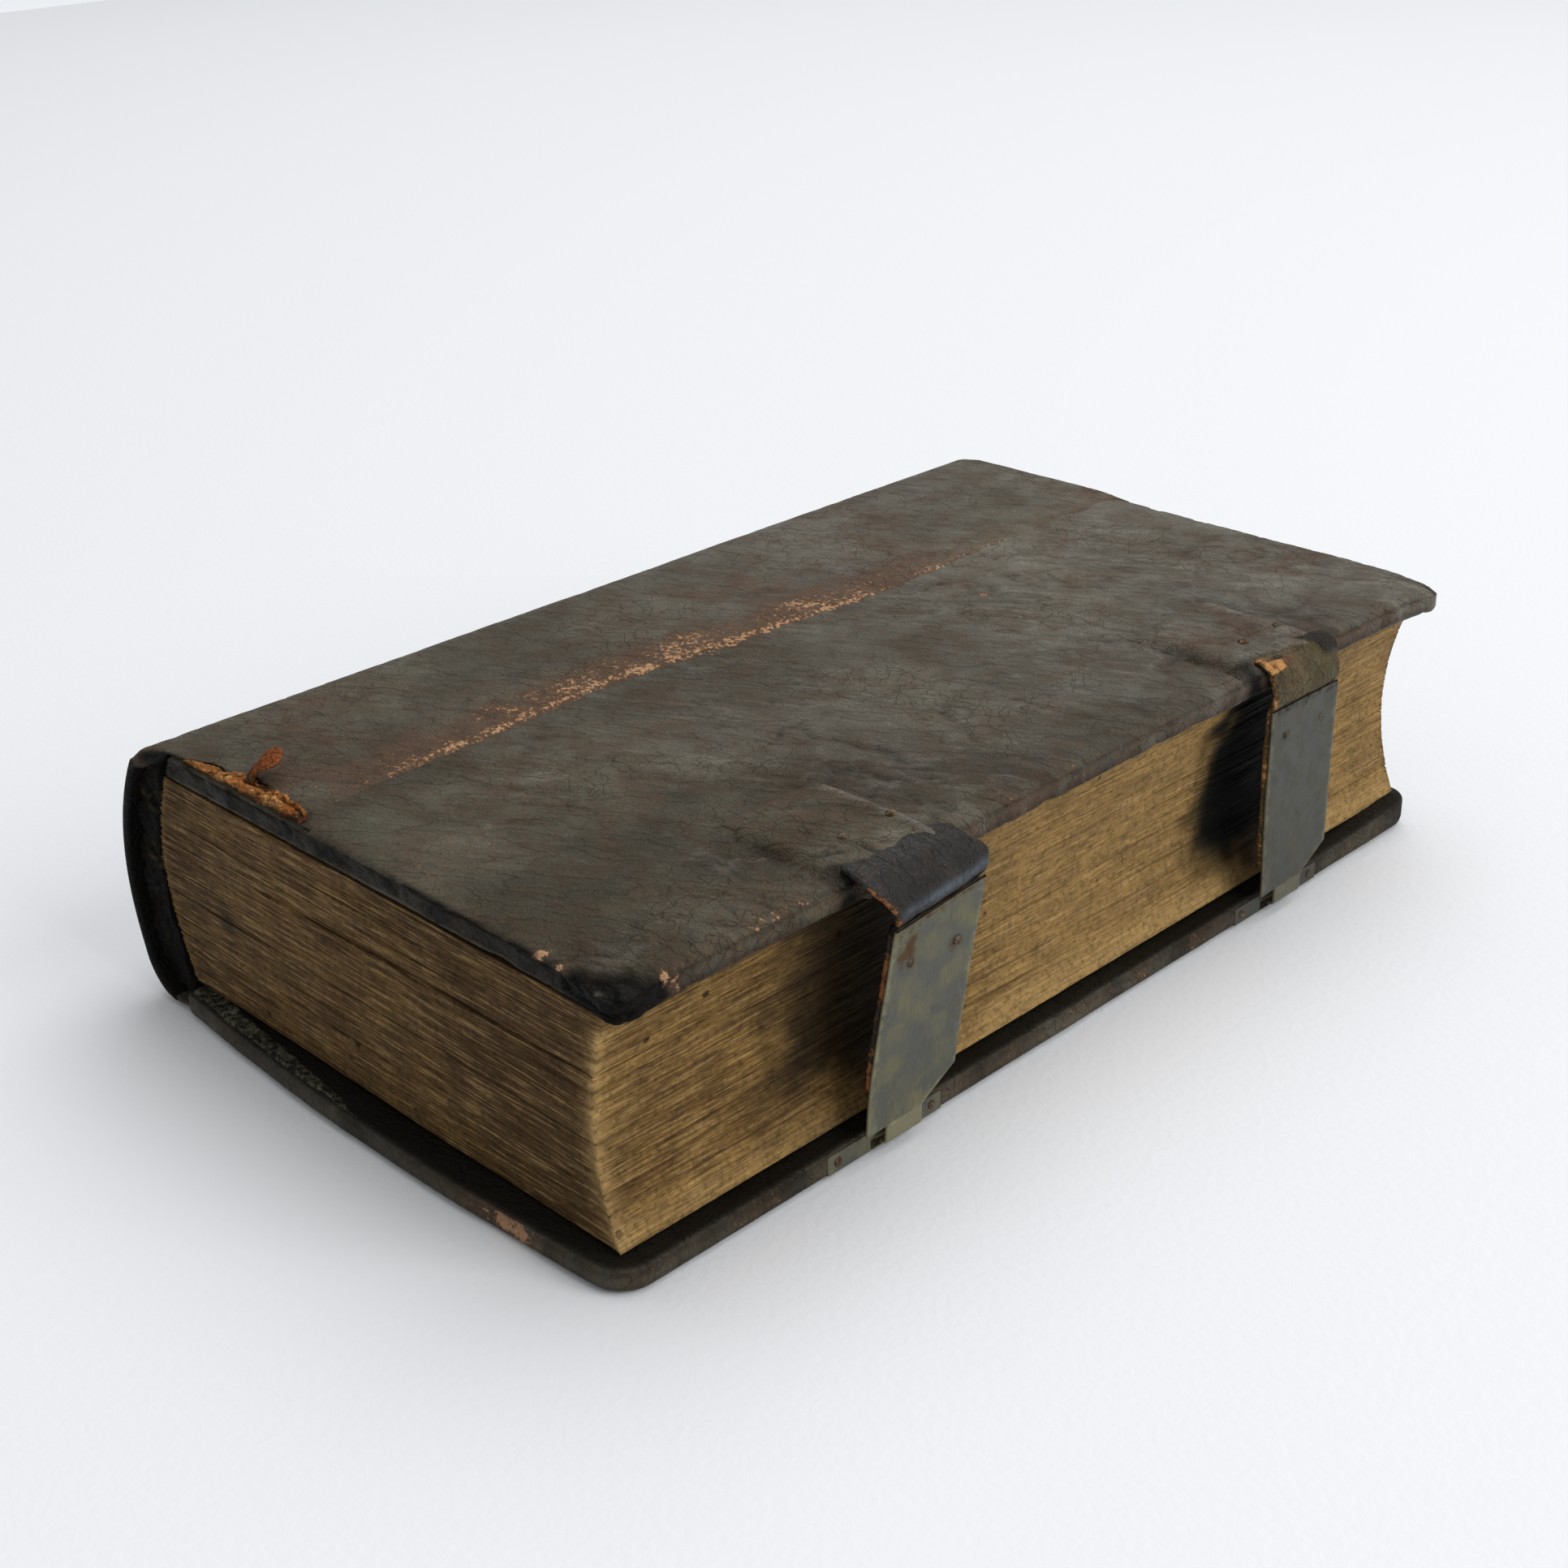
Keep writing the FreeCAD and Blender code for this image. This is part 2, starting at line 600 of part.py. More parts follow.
book = makeBackCover()
book += [makeTextBlock(), makeSpineLeather(), makeSpineLining()]
book += makeFrontCover()
book += makeClasp(1) + makeClasp(2)
moved = centrePieces(book)
writePieces(book)
print("%d pieces, shifted by %.5f, %.5f" % (len(book), moved.x, moved.y))
print("front joint at x 0, z %.4f" % size("book_top + overlay_thickness"))
print("straps fold at x %.4f, z %.4f" % (size("hinge_x"), size("hinge_z")))
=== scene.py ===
import math
import bpy
import numpy as np
from mathutils import Matrix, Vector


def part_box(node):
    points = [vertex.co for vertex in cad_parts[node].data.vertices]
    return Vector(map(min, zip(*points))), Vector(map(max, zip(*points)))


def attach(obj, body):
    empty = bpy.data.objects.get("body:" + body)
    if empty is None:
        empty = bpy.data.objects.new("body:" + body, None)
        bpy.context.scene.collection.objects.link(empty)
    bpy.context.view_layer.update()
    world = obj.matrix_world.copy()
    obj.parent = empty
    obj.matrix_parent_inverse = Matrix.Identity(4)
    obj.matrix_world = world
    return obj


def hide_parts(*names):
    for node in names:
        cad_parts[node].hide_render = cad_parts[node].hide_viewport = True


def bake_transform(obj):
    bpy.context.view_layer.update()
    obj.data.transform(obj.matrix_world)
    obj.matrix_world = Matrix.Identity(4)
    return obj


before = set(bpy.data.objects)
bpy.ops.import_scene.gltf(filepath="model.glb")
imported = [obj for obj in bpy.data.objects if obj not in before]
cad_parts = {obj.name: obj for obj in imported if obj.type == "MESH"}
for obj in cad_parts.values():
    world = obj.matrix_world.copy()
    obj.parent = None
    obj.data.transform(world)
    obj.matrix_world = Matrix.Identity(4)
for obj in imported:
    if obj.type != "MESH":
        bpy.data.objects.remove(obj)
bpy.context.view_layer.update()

# An old leather book with two clasps. A shape is worked out in millimetres of the book itself: x from
# the spine joint to the fore-edge, y from tail to head, z up from the table. toFrame() takes it to the
# frame, and nodeBox() brings the box of a node of the frame back.
bookFrame = {"jointX": 37.96631, "tailY": 75.0, "metre": 0.001}
cover = {"start": 0.3, "thickness": 3.6, "foreCorner": 4.0, "jointCorner": 1.2}
book = {"leafFoot": 3.9, "leafTop": 32.5, "top": 36.4, "foreEdge": 84.8, "backTail": 0.0, "backHead": 150.0,
        "frontTail": 2.0, "frontHead": 152.0, "fold": 36.1}
clasps = (
    {"number": 1, "y": 43.4, "lean": 3.0, "plateTop": 30.3, "seed": 3, "sway": 1.7, "out": 2.0, "slant": 0.1},
    {"number": 2, "y": 117.3, "lean": 0.6, "plateTop": 30.5, "seed": 8, "sway": 0.0, "out": 0.0, "slant": 0.0},
)


def toFrame(points):
    # book millimetres to frame metres
    shift = np.array([bookFrame["jointX"], bookFrame["tailY"], 0.0])
    return (np.asarray(points, float) - shift) * bookFrame["metre"]


def nodeBox(name):
    # the lowest and the highest corner of a node of the frame, in book millimetres
    shift = np.array([bookFrame["jointX"], bookFrame["tailY"], 0.0])
    return [np.array(corner) / bookFrame["metre"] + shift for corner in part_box(name)]


def smooth(low, high, value):
    # 0 below low, 1 above high, an easy S between them
    t = np.clip((value - low) / (high - low), 0.0, 1.0)
    return t * t * (3 - 2 * t)


def hill(value, middle, reach):
    # a bell of height 1 at middle, with the given reach to each side
    return np.exp(-((value - middle) / reach) ** 2)


def spot(x, y, middleX, middleY, reachX, reachY):
    # a bell over one place, with its own reach in each direction
    return hill(x, middleX, reachX) * hill(y, middleY, reachY)


def latticeNumber(i, j, seed):
    # a fixed random number from 0 to 1 for every whole place (i, j)
    n = (i.astype(np.int64) * 374761393 + j.astype(np.int64) * 668265263 + seed * 144269504) & 0x7FFFFFFF
    n = ((n ^ (n >> 13)) * 1274126177) & 0x7FFFFFFF
    n = ((n ^ (n >> 15)) * 1103515245) & 0x7FFFFFFF
    return ((n >> 8) & 0xFFFF) / 65535.0


def softNoise(x, y, seed):
    # lattice numbers joined by a smooth surface, from -1 to 1
    x, y = np.broadcast_arrays(np.asarray(x, float), np.asarray(y, float))
    i, j = np.floor(x), np.floor(y)
    u, v = x - i, y - j
    u, v = u * u * u * (u * (u * 6 - 15) + 10), v * v * v * (v * (v * 6 - 15) + 10)
    low = latticeNumber(i, j, seed) * (1 - u) + latticeNumber(i + 1, j, seed) * u
    high = latticeNumber(i, j + 1, seed) * (1 - u) + latticeNumber(i + 1, j + 1, seed) * u
    return 2 * (low * (1 - v) + high * v) - 1


def layered(x, y, size, seed, layers=4):
    # soft noise added to itself at half the size and half the height, layer by layer
    total, weight, whole = 0.0, 1.0, 0.0
    for layer in range(layers):
        scale = 2 ** layer / size
        total = total + weight * softNoise(x * scale + 13.7 * layer, y * scale - 7.1 * layer, seed + layer)
        whole, weight = whole + weight, weight * 0.5
    return total / whole


def creases(x, y, size, seed, sharp):
    # thin lines where a soft noise passes through zero: 1 on the line, 0 away from it
    a = softNoise(x / size + 0.6 * softNoise(x / size * 2, y / size * 2, seed + 5), y / size, seed)
    return np.exp(-np.abs(a) * sharp)


def gridFaces(rows, columns, closeColumns=False):
    # the four corners of every cell of a grid of points, rows by columns
    i = np.arange(rows - 1)[:, None]
    j = np.arange(columns if closeColumns else columns - 1)[None, :]
    jNext = (j + 1) % columns
    corners = [i * columns + j, (i + 1) * columns + j, (i + 1) * columns + jNext, i * columns + jNext]
    return np.stack([c + 0 * (i + j) for c in corners], axis=-1).reshape(-1, 4)


def makeMesh(name, points, material, values=None, uv=None, closed=True, flip=False):
    # a grid of points in book millimetres as one surface, with values as one number a point
    faces = gridFaces(*points.shape[:2], closeColumns=closed)
    faces = faces[:, ::-1] if flip else faces
    points = toFrame(points).reshape(-1, 3)
    mesh = bpy.data.meshes.new(name)
    mesh.vertices.add(len(points))
    mesh.vertices.foreach_set("co", points.ravel())
    mesh.loops.add(faces.size)
    mesh.loops.foreach_set("vertex_index", faces.ravel().astype(np.int32))
    mesh.polygons.add(len(faces))
    mesh.polygons.foreach_set("loop_start", np.arange(0, faces.size, 4, dtype=np.int32))
    mesh.polygons.foreach_set("loop_total", np.full(len(faces), 4, dtype=np.int32))
    mesh.polygons.foreach_set("use_smooth", np.ones(len(faces), dtype=bool))
    mesh.update(calc_edges=True)
    for key, numbers in (values or {}).items():
        layer = mesh.attributes.new(key, "FLOAT", "POINT")
        layer.data.foreach_set("value", np.asarray(numbers, np.float32).ravel())
    if uv is not None:
        layer = mesh.uv_layers.new(name="leafMap")
        layer.data.foreach_set("uv", np.asarray(uv, np.float32).reshape(-1, 2)[faces.ravel()].ravel())
    mesh.validate()
    piece = bpy.data.objects.new(name, mesh)
    bpy.context.collection.objects.link(piece)
    mesh.materials.append(material)
    return piece


def addNode(tree, kind, inputs=None, **settings):
    # one node with its settings; an input is a number, a colour or another node's output
    made = tree.nodes.new(kind)
    for key, value in settings.items():
        setattr(made, key, value)
    for key, value in (inputs or {}).items():
        if isinstance(value, bpy.types.NodeSocket):
            tree.links.new(value, made.inputs[key])
        else:
            made.inputs[key].default_value = value
    return made


def mixed(tree, factor, first, second):
    made = addNode(tree, "ShaderNodeMix", {0: factor, 6: first, 7: second}, data_type="RGBA")
    return made.outputs[2]


def worked(tree, operation, first, second=0.0, third=0.0, clamp=False):
    inputs = {0: first, 1: second, 2: third}
    return addNode(tree, "ShaderNodeMath", inputs, operation=operation, use_clamp=clamp).outputs[0]


def ranged(tree, value, low, high, newLow=0.0, newHigh=1.0):
    made = addNode(tree, "ShaderNodeMapRange", {0: value, 1: low, 2: high, 3: newLow, 4: newHigh},
                   interpolation_type="SMOOTHSTEP")
    return made.outputs[0]


def noiseNode(tree, place, scale, detail, roughness=0.5, **settings):
    inputs = {"Vector": place, "Scale": scale, "Detail": detail, "Roughness": roughness}
    return addNode(tree, "ShaderNodeTexNoise", inputs, **settings)


def stretched(tree, place, **inputs):
    return addNode(tree, "ShaderNodeMapping", {"Vector": place, **inputs}).outputs[0]


def wobbled(tree, place, scale, detail, amount):
    # a place pushed about by a noise
    push = noiseNode(tree, place, scale, detail).outputs["Color"]
    push = addNode(tree, "ShaderNodeVectorMath", {0: push, "Scale": amount}, operation="SCALE").outputs[0]
    return addNode(tree, "ShaderNodeVectorMath", {0: place, 1: push}, operation="ADD").outputs[0]


def cellEdges(tree, place, scale):
    cells = addNode(tree, "ShaderNodeTexVoronoi", {"Vector": place, "Scale": scale}, feature="DISTANCE_TO_EDGE")
    return cells.outputs["Distance"]


def colour(red, green, blue):
    # a colour as a painter reads it, 0 to 255, for a shader
    parts = [c / 255.0 for c in (red, green, blue)]
    return tuple(c / 12.92 if c < 0.04045 else ((c + 0.055) / 1.055) ** 2.4 for c in parts) + (1.0,)


def newGroup(name, inputs, outputs):
    # an empty shader group; an input without a number is a vector, and every output is a number
    tree = bpy.data.node_groups.new(name, "ShaderNodeTree")
    for key, value in inputs.items():
        kind = "NodeSocketVector" if value is None else "NodeSocketFloat"
        socket = tree.interface.new_socket(name=key, in_out="INPUT", socket_type=kind)
        if value is not None:
            socket.default_value = value
    for key in outputs:
        tree.interface.new_socket(name=key, in_out="OUTPUT", socket_type="NodeSocketFloat")
    return tree, tree.nodes.new("NodeGroupInput").outputs, tree.nodes.new("NodeGroupOutput").inputs


def makeGrainGroup():
    # leather grain: small pebbles between fine hair lines, a slow swell and drawn-out wrinkles
    tree, into, out = newGroup("leatherGrain", {"Place": None, "Pebble": 900.0}, ["Height", "Line", "Wrinkle"])
    place = wobbled(tree, into["Place"], 420.0, 3.0, 0.0016)
    line = ranged(tree, cellEdges(tree, place, into["Pebble"]), 0.0, 0.12, 1.0, 0.0)
    fine = noiseNode(tree, into["Place"], 3200.0, 3.0).outputs["Fac"]
    swell = noiseNode(tree, into["Place"], 260.0, 4.0).outputs["Fac"]
    # a wrinkle runs where a stretched noise passes its middle value, in two sizes
    drawn = addNode(tree, "ShaderNodeMapping", {"Vector": place, "Rotation": (0.0, 0.0, 0.48),
                                                "Scale": (3.4, 1.0, 1.6)}, vector_type="TEXTURE").outputs[0]
    wrinkles = []
    for scale, width in ((330.0, 0.035), (820.0, 0.05)):
        cloud = noiseNode(tree, drawn, scale, 2.0).outputs["Fac"]
        away = worked(tree, "ABSOLUTE", worked(tree, "SUBTRACT", cloud, 0.5))
        wrinkles.append(ranged(tree, away, 0.0, width, 1.0, 0.0))
    wrinkle = worked(tree, "MULTIPLY_ADD", wrinkles[1], 0.6, wrinkles[0])
    height = worked(tree, "MULTIPLY", line, -0.22)
    for part, share in ((fine, 0.45), (swell, 0.8), (wrinkle, -0.55)):
        height = worked(tree, "MULTIPLY_ADD", part, share, height)
    for key, output in (("Height", height), ("Line", line), ("Wrinkle", wrinkle)):
        tree.links.new(output, out[key])
    return tree


def makeCrackGroup():
    # crackle: long torn cells, their edges as thin lines that fade in and out
    tree, into, out = newGroup("oldCrackle", {"Place": None, "Size": 150.0, "Width": 0.05}, ["Crack"])
    place = wobbled(tree, into["Place"], 130.0, 4.0, 0.012)
    edge = ranged(tree, cellEdges(tree, place, into["Size"]), 0.0, into["Width"], 1.0, 0.0)
    shown = ranged(tree, noiseNode(tree, into["Place"], 70.0, 3.0).outputs["Fac"], 0.42, 0.62)
    tree.links.new(worked(tree, "MULTIPLY", edge, shown), out["Crack"])
    return tree


def makeWearGroup():
    # rubbed places: a density from 0 to 1 turned into ragged specks and patches
    tree, into, out = newGroup("rubbedSpecks", {"Place": None, "Density": 0.0, "Scale": 900.0},
                               ["Mask", "Soft"])
    specks = noiseNode(tree, into["Place"], into["Scale"], 5.0, 0.65).outputs["Fac"]
    reached = worked(tree, "MULTIPLY_ADD", into["Density"], 0.5, specks)
    tree.links.new(ranged(tree, reached, 0.83, 0.93), out["Mask"])
    tree.links.new(ranged(tree, reached, 0.62, 0.95), out["Soft"])
    return tree


def makeBlotchGroup():
    # blotches: a broad and a middling cloud
    tree, into, out = newGroup("cloudedPatches", {"Place": None, "Broad": 30.0, "Close": 140.0},
                               ["Broad", "Close"])
    for key, low, high in (("Broad", 0.38, 0.62), ("Close", 0.36, 0.66)):
        cloud = noiseNode(tree, into["Place"], into[key], 5.0, 0.6).outputs["Fac"]
        tree.links.new(ranged(tree, cloud, low, high), out[key])
    return tree


groups = {"grain": makeGrainGroup(), "crack": makeCrackGroup(), "wear": makeWearGroup(),
          "blotch": makeBlotchGroup()}


def useGroup(tree, name, **inputs):
    return addNode(tree, "ShaderNodeGroup", inputs, node_tree=groups[name]).outputs


socketNames = {"specular": "Specular IOR Level", "metal": "Metallic", "matt": "Roughness"}


def newMaterial(name, **numbers):
    # a material with one Principled shader and its plain numbers
    material = bpy.data.materials.new(name)
    material.use_nodes = True
    tree = material.node_tree
    shader = tree.nodes["Principled BSDF"]
    for key, value in numbers.items():
        shader.inputs[socketNames[key]].default_value = value
    return material, tree, shader, addNode(tree, "ShaderNodeTexCoord").outputs["Object"]


def pointValue(tree, name):
    return addNode(tree, "ShaderNodeAttribute", attribute_name=name).outputs["Fac"]


def layColours(tree, base, look, layers):
    # colours of the look laid over the base one after another: where, how strongly, and the colour's name
    for mask, share, name in layers:
        base = mixed(tree, worked(tree, "MULTIPLY", mask, share), base, look[name])
    return base


def finishLook(tree, shader, base, roughness, height, distance):
    bump = addNode(tree, "ShaderNodeBump", {"Strength": 1.0, "Distance": distance, "Height": height})
    tree.links.new(base, shader.inputs["Base Color"])
    tree.links.new(roughness, shader.inputs["Roughness"])
    tree.links.new(bump.outputs[0], shader.inputs["Normal"])


def leatherLook(name, look):
    # dark leather: clouds of two tones, ruddy places, crackle, grain, and rubbed places showing tan, with
    # painted sheen, highlights and shade laid over them
    material, tree, shader, place = newMaterial(name, specular=look["gloss"])
    grain = useGroup(tree, "grain", Place=place, Pebble=look["pebble"])
    crack = useGroup(tree, "crack", Place=place, Size=look["crackSize"], Width=look["crackWidth"])["Crack"]
    clouds = useGroup(tree, "blotch", Place=place, Broad=36.0, Close=170.0)
    density = worked(tree, "MULTIPLY_ADD", clouds["Broad"], 0.12, pointValue(tree, "wear"))
    rubbed = useGroup(tree, "wear", Place=place, Density=density, Scale=1700.0)
    ruddy = useGroup(tree, "wear", Place=place, Density=pointValue(tree, "ruddy"), Scale=300.0)
    # painted light in the layers: the pale colour paints sheen and highlights, beside some real pale tone; the
    # deep colour paints shade in folds, wrinkles and grain lines and darkens the cracks; the near-black colour
    # paints shade in hollows, slits, gaps and on sides away from the light, beside some real dark places
    base = layColours(tree, mixed(tree, clouds["Broad"], look["dark"], look["grey"]), look, (
        (pointValue(tree, "bloom"), 1.0, "pale"), (clouds["Close"], 0.45, "brown"),
        (ruddy["Soft"], 0.7, "ruddy"), (grain["Wrinkle"], 0.22, "deep"),
        (pointValue(tree, "fold"), 0.5, "deep"), (grain["Line"], 0.14, "deep"), (crack, 0.4, "deep"),
        (rubbed["Soft"], look["rubSoft"], "rubDull"), (rubbed["Mask"], 1.0, "rub"),
        (pointValue(tree, "soot"), 1.0, "soot")))
    gloss = addNode(tree, "ShaderNodeMix", {0: clouds["Close"], 2: look["smooth"], 3: look["matt"]}).outputs[0]
    rough = worked(tree, "MULTIPLY_ADD", rubbed["Soft"], 0.3, gloss, clamp=True)
    height = worked(tree, "MULTIPLY_ADD", crack, -0.5, grain["Height"])
    height = worked(tree, "MULTIPLY_ADD", rubbed["Mask"], -0.5, height)
    finishLook(tree, shader, base, rough, height, look["bump"])
    return material


# the pale colour here is the painted sheen and highlight, the deep one the painted shade in folds and wrinkles,
# and the near-black one the painted shade in hollows and gaps
coverLook = {
    "dark": colour(58, 55, 44), "grey": colour(88, 85, 73), "brown": colour(76, 60, 46),
    "ruddy": colour(88, 66, 52), "pale": colour(124, 122, 114), "deep": colour(24, 20, 15),
    "rub": colour(176, 138, 106), "rubDull": colour(106, 82, 64), "soot": colour(6, 6, 5),
    "rubSoft": 0.5, "smooth": 0.44, "matt": 0.62, "gloss": 0.1, "pebble": 1500.0, "crackSize": 270.0,
    "crackWidth": 0.03, "bump": 0.00016,
}
# on the straps the pale colour is bluish: a painted reflection of the pale sky along the strap's ridge
strapLook = dict(
    coverLook, dark=colour(26, 25, 24), grey=colour(38, 37, 36), brown=colour(36, 31, 27), pebble=1700.0,
    bump=0.00014, smooth=0.34, matt=0.5, rub=colour(142, 92, 54), rubSoft=0.3, gloss=0.2,
    pale=colour(92, 104, 116))
rawLook = dict(
    coverLook, dark=colour(86, 72, 40), grey=colour(74, 70, 45), brown=colour(48, 42, 30), pebble=1200.0,
    deep=colour(26, 21, 14), rub=colour(182, 132, 80), rubDull=colour(140, 104, 62), smooth=0.5, matt=0.75,
    ruddy=colour(110, 64, 34), bump=0.0003, gloss=0.3)
suedeLook = dict(
    rawLook, dark=colour(176, 104, 50), grey=colour(198, 128, 66), brown=colour(128, 68, 34),
    ruddy=colour(112, 50, 27), smooth=0.8, matt=0.95, bump=0.0005, gloss=0.15, pebble=900.0)
leather = leatherLook("cover leather", coverLook)
strapLeather = leatherLook("strap leather", strapLook)
rawLeather = leatherLook("worn strap leather", rawLook)
suede = leatherLook("torn suede", suedeLook)


def leafLook(name, look):
    # leaf edges: fine lines along the leaves from the piece's own map, browned by age, with specks, and a
    # near-black layer that paints shade beside the straps and in the gaps
    material, tree, shader, place = newMaterial(name, specular=0.14)
    along = addNode(tree, "ShaderNodeUVMap", uv_map="leafMap").outputs[0]
    streaks = []
    for scale, detail in (((120.0, 3300.0, 1.0), 3.0), ((320.0, 8200.0, 1.0), 2.0), ((50.0, 800.0, 1.0), 3.0)):
        drawn = stretched(tree, along, Scale=scale)
        streaks.append(noiseNode(tree, drawn, 1.0, detail, 0.6, noise_dimensions="2D").outputs["Fac"])
    coarse, thin, wide = streaks
    clouds = useGroup(tree, "blotch", Place=place, Broad=40.0, Close=190.0)
    spots = addNode(tree, "ShaderNodeTexVoronoi", {"Vector": place, "Scale": 260.0, "Randomness": 1.0})
    spotted = ranged(tree, noiseNode(tree, place, 90.0, 3.0).outputs["Fac"], 0.5, 0.6)
    spotted = worked(tree, "MULTIPLY", ranged(tree, spots.outputs["Distance"], 0.16, 0.09), spotted)
    flecks = useGroup(tree, "wear", Place=place, Density=0.42, Scale=1300.0)
    base = layColours(tree, mixed(tree, ranged(tree, wide, 0.35, 0.65), look["tan"], look["gold"]), look, (
        (clouds["Close"], 0.5, "brown"), (pointValue(tree, "age"), 1.0, "brown"),
        (ranged(tree, coarse, 0.5, 0.68), 0.5, "line"), (ranged(tree, thin, 0.48, 0.64), 0.5, "line"),
        (ranged(tree, coarse, 0.48, 0.3), 0.4, "bright"), (pointValue(tree, "wear"), 1.0, "bright"),
        (spotted, 0.85, "speck"), (flecks["Soft"], 0.55, "speck"), (pointValue(tree, "soot"), 1.0, "soot")))
    height = worked(tree, "MULTIPLY_ADD", thin, 0.6, coarse)
    finishLook(tree, shader, base, ranged(tree, coarse, 0.2, 0.8, 0.5, 0.8), height, 0.00025)
    return material


def paperLook(name, look):
    # old paper: foxed and browned towards its edges, with fibres
    material, tree, shader, place = newMaterial(name, specular=0.2)
    clouds = useGroup(tree, "blotch", Place=place, Broad=22.0, Close=90.0)
    fox = useGroup(tree, "wear", Place=place, Density=0.55, Scale=160.0)
    fibre = noiseNode(tree, place, 2600.0, 4.0).outputs["Fac"]
    base = layColours(tree, mixed(tree, clouds["Broad"], look["light"], look["toned"]), look, (
        (clouds["Close"], 0.3, "brown"), (fox["Soft"], 0.6, "fox"), (pointValue(tree, "wear"), 1.0, "brown")))
    finishLook(tree, shader, base, ranged(tree, fibre, 0.3, 0.7, 0.7, 0.9), fibre, 0.00006)
    return material


def crumbLook(name, look):
    # glued linings and bare board: coarse dark crumbs over fibres
    material, tree, shader, place = newMaterial(name, specular=0.1)
    crumbs = noiseNode(tree, place, 1100.0, 5.0, 0.7).outputs["Fac"]
    coarse = noiseNode(tree, place, 320.0, 4.0, 0.7).outputs["Fac"]
    base = mixed(tree, ranged(tree, crumbs, 0.42, 0.62), look["dark"], look["mid"])
    base = mixed(tree, ranged(tree, coarse, 0.58, 0.7), base, look["light"])
    rough = ranged(tree, crumbs, 0.3, 0.7, 0.6, 0.9)
    finishLook(tree, shader, base, rough, worked(tree, "ADD", crumbs, coarse), 0.0005)
    return material


def metalLook(name, look):
    # tarnished sheet metal: two dull tones, blue-grey blotches, green-brown corrosion, fine scratches
    material, tree, shader, place = newMaterial(name, metal=look["metal"])
    clouds = useGroup(tree, "blotch", Place=place, Broad=look["broad"], Close=420.0)
    rusted = useGroup(tree, "wear", Place=place, Density=pointValue(tree, "rust"), Scale=700.0)
    edge = useGroup(tree, "wear", Place=place, Density=pointValue(tree, "wear"), Scale=900.0)
    scratch = noiseNode(tree, stretched(tree, place, Scale=(1.0, 7.0, 0.5)), 900.0, 4.0).outputs["Fac"]
    pits = noiseNode(tree, place, 1500.0, 3.0).outputs["Fac"]
    base = layColours(tree, mixed(tree, clouds["Close"], look["main"], look["pale"]), look, (
        (clouds["Broad"], look["blotch"], "blue"), (ranged(tree, scratch, 0.45, 0.75, 0.0, 0.35), 1.0, "deep"),
        (edge["Soft"], 1.0, "rubbed"), (rusted["Soft"], 1.0, "rust")))
    rough = ranged(tree, clouds["Close"], 0.0, 1.0, look["smooth"], look["matt"])
    rough = worked(tree, "MULTIPLY_ADD", rusted["Soft"], 0.3, rough, clamp=True)
    height = worked(tree, "MULTIPLY", scratch, 0.5)
    for part, share in ((pits, 0.6), (rusted["Mask"], 0.8)):
        height = worked(tree, "MULTIPLY_ADD", part, share, height)
    finishLook(tree, shader, base, rough, height, look["bump"])
    return material


claspLook = {
    "main": colour(88, 87, 70), "pale": colour(106, 103, 78), "blue": colour(66, 71, 76),
    "deep": colour(50, 50, 40), "rubbed": colour(122, 118, 92), "rust": colour(82, 60, 34),
    "metal": 0.4, "smooth": 0.42, "matt": 0.62, "blotch": 0.6, "broad": 240.0, "bump": 0.00008,
}
darkClaspLook = dict(
    claspLook, main=colour(64, 63, 55), pale=colour(76, 75, 64), blue=colour(56, 59, 60), blotch=0.4,
    rubbed=colour(98, 96, 78), rust=colour(32, 27, 20), deep=colour(44, 43, 36))
ironLook = dict(
    claspLook, main=colour(66, 58, 48), pale=colour(104, 96, 80), blue=colour(52, 48, 46), metal=0.6,
    rust=colour(84, 54, 32), smooth=0.45, matt=0.7)
leafEdge = leafLook("leaf edges", {
    "gold": colour(162, 128, 72), "tan": colour(136, 104, 60), "brown": colour(72, 50, 27),
    "line": colour(58, 40, 20), "bright": colour(196, 162, 106), "speck": colour(30, 22, 13),
    "soot": colour(4, 4, 2)})
paper = paperLook("endpaper", {
    "light": colour(206, 186, 146), "toned": colour(186, 160, 116), "brown": colour(138, 102, 62),
    "fox": colour(160, 116, 70)})
lining = crumbLook(
    "glued lining", {"dark": colour(5, 4, 3), "mid": colour(17, 14, 9), "light": colour(56, 47, 27)})
bareBoard = crumbLook(
    "bare board", {"dark": colour(88, 66, 42), "mid": colour(128, 100, 66), "light": colour(150, 122, 84)})
scuffed = crumbLook(
    "scuffed turn-in", {"dark": colour(22, 21, 18), "mid": colour(84, 84, 70), "light": colour(122, 122, 102)})
claspMetal = {1: metalLook("clasp metal", claspLook), 2: metalLook("dark clasp metal", darkClaspLook)}
iron = metalLook("nail iron", ironLook)
print("materials made")


# Cover skins. A sheet of leather laid over a board: its middle is the outer face, and beyond the middle a
# point at distance s follows the profile over the edge, down the side and back under the board. In a corner
# the square of (a, b) distances is bent onto a rounded square, so the sheet closes round the corner.
skin = {"zone": 12.0, "topRound": 1.25, "footRound": 0.8, "turnIn": 9.0, "edgeStep": 0.28, "frontStep": 0.46,
        "backStep": 0.62, "tableGap": 0.02}
limits = {"wear": 1.4, "ruddy": 1.2, "soot": 0.97, "fold": 1.0, "bloom": 0.9}


def lookValues(marks):
    # the marks that a look reads, kept between 0 and their limits
    return {key: np.clip(mark, 0, limits[key]) for key, mark in marks.items()}


def addMarks(marks, **parts):
    # heights and marks add up, part by part
    for key, part in parts.items():
        marks[key] = marks[key] + part


